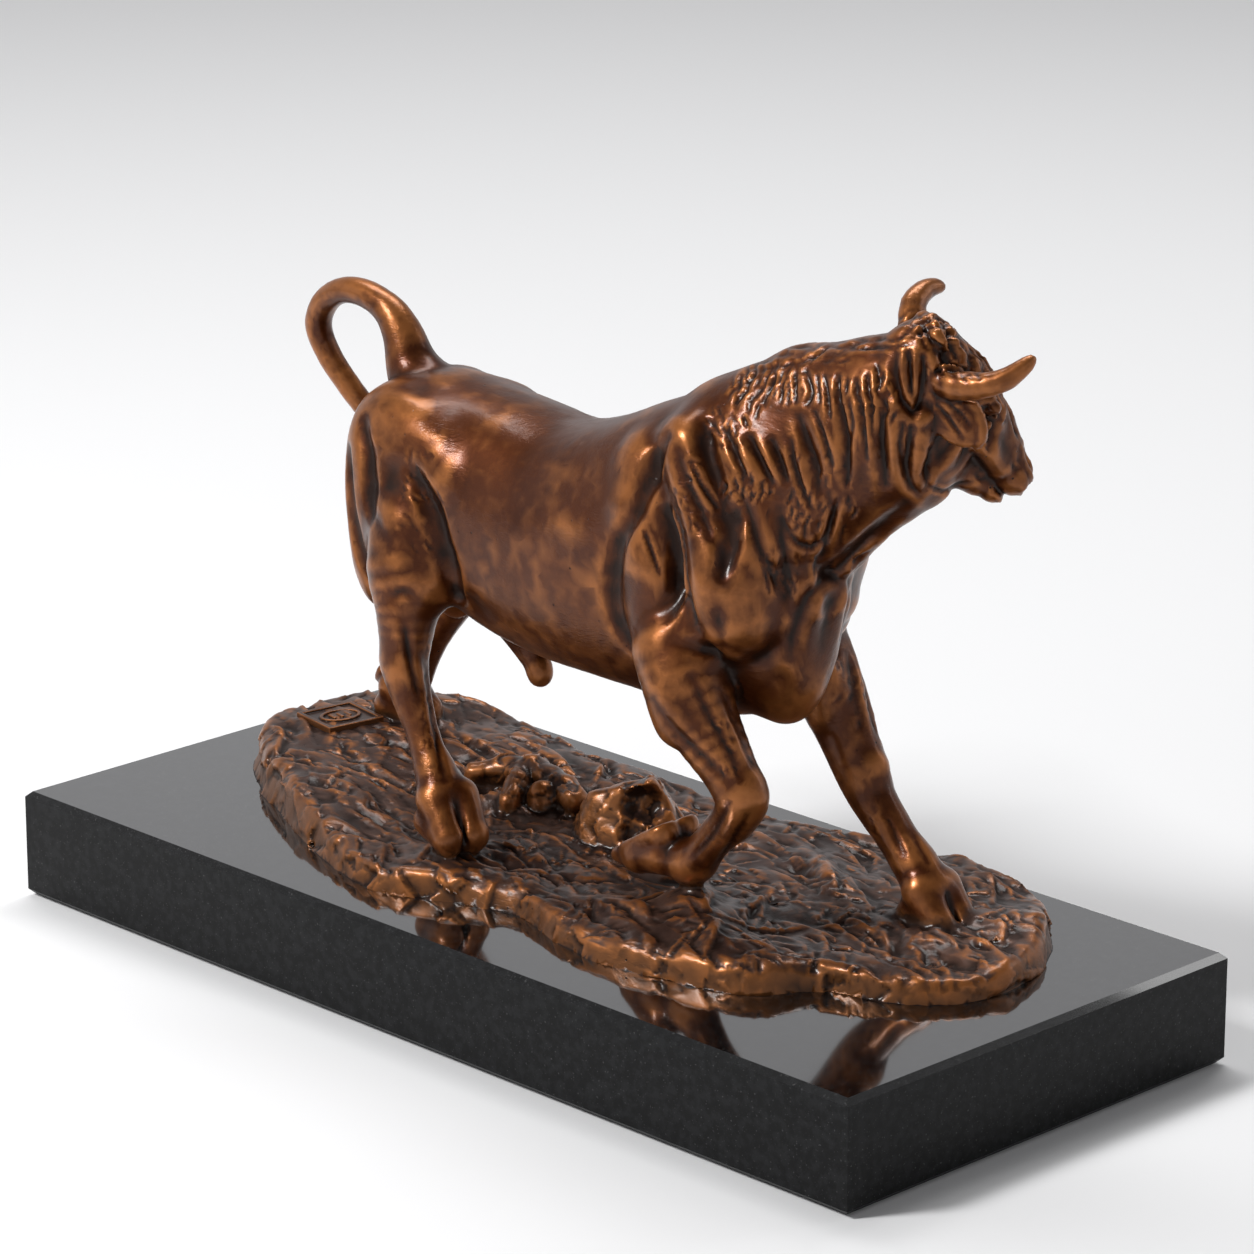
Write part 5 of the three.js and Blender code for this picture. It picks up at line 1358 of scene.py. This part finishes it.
PAPER_WHITE, PAPER_ROUGHNESS = (0.83, 0.83, 0.835, 1), 0.9


def floor_material():
    graph = Graph("studio_paper")
    graph.set("Base Color", PAPER_WHITE)
    graph.set("Roughness", PAPER_ROUGHNESS)
    return graph.material


# Studio. The camera's angles, place and focal length come from a fit to the photo. Lengths are in
# metres, but the focal length is in the photo's pixels and the sensor's width in millimetres.

CAMERA_AZIMUTH, CAMERA_HEIGHT = math.radians(45.55), math.radians(17.5)
CAMERA_TARGET = np.array([-0.049665, 0.060839, 0.1])
CAMERA_DISTANCE = 1.89813
FOCAL_PIXELS, PHOTO_PIXELS = 5423.75, 1254
SENSOR, FARTHEST_VIEW = 36.0, 60


def camera_axes():
    """The camera's right, its up, and the way from what it sees back to it."""
    right = np.array([math.cos(CAMERA_AZIMUTH), math.sin(CAMERA_AZIMUTH), 0.0])
    back = np.array([math.sin(CAMERA_AZIMUTH) * math.cos(CAMERA_HEIGHT),
                     -math.cos(CAMERA_AZIMUTH) * math.cos(CAMERA_HEIGHT), math.sin(CAMERA_HEIGHT)])
    return right, np.cross(back, right), back


def make_camera():
    right, up, back = camera_axes()
    data = bpy.data.cameras.new("camera")
    data.sensor_width = SENSOR
    data.lens = FOCAL_PIXELS / PHOTO_PIXELS * SENSOR
    data.clip_end = FARTHEST_VIEW
    camera = bpy.data.objects.new("camera", data)
    place = CAMERA_TARGET + back * CAMERA_DISTANCE
    rows = [[right[i], up[i], back[i], place[i]] for i in range(3)]
    camera.matrix_world = Matrix(rows + [[0, 0, 0, 1]])
    bpy.context.scene.collection.objects.link(camera)
    bpy.context.scene.camera = camera


# Lamps: how far right of, in front of and above the aim, then the panel's two sides and its power in watts
AIM = np.array([0.0, 0.0, 0.14])
LAMPS = {
    "key": ((-1.2, 0.5, 1.25), (0.28, 0.42), 27),
    "top": ((0.0, -1.0, 1.9), (1.8, 0.55), 29),
    "right_fill": ((1.7, -0.5, 0.7), (0.25, 1.1), 2),
}


def area_light(name, place, size, power):
    data = bpy.data.lights.new(name, "AREA")
    data.shape = "RECTANGLE"
    data.size, data.size_y = size
    data.energy = power
    light = bpy.data.objects.new(name, data)
    light.location = place
    light.rotation_euler = (Vector(AIM) - Vector(place)).to_track_quat("-Z", "Y").to_euler()
    bpy.context.scene.collection.objects.link(light)


FLOOR_HALF, FLOOR_DROP = 14, 0.0005
SKY_WHITE = (0.86, 0.86, 0.88, 1)
# The studio's walls are pale near the floor and its ceiling is dark: from and to height, then strengths
SKY_FADE = (0.25, 0.65, 0.75, 0.12)


def make_world():
    world = bpy.data.worlds.new("studio")
    world.use_nodes = True
    nodes, links = world.node_tree.nodes, world.node_tree.links
    sky = nodes["Background"]
    sky.inputs["Color"].default_value = SKY_WHITE
    way, split = nodes.new("ShaderNodeTexCoord"), nodes.new("ShaderNodeSeparateXYZ")
    fade = nodes.new("ShaderNodeMapRange")
    for name, number in zip(("From Min", "From Max", "To Min", "To Max"), SKY_FADE):
        fade.inputs[name].default_value = number
    links.new(way.outputs["Generated"], split.inputs[0])
    links.new(split.outputs["Z"], fade.inputs["Value"])
    links.new(fade.outputs["Result"], sky.inputs["Strength"])
    bpy.context.scene.world = world


def make_studio():
    right, _, back = camera_axes()
    corners = [(-FLOOR_HALF, -FLOOR_HALF, 0), (FLOOR_HALF, -FLOOR_HALF, 0),
               (FLOOR_HALF, FLOOR_HALF, 0), (-FLOOR_HALF, FLOOR_HALF, 0)]
    floor = mesh_object("floor", corners, [(0, 1, 2, 3)], False)
    floor.location.z = -FLOOR_DROP
    paint(floor, floor_material())
    front = np.array([back[0], back[1], 0]) / math.hypot(back[0], back[1])
    for name, ((aside, ahead, above), size, power) in LAMPS.items():
        place = AIM + right * aside + front * ahead + np.array([0, 0, above])
        area_light(name, place, size, power)
    make_world()
    bpy.context.scene.view_settings.view_transform = "Standard"
    bpy.context.scene.view_settings.look = "None"


make_camera()
make_studio()
bronze = make_bronze()
paint(bronze, bronze_material("patinated_bronze"))
paint(bpy.data.objects["granite_plinth"], granite_material())
paint(make_seal(), bronze_material("seal_bronze"))
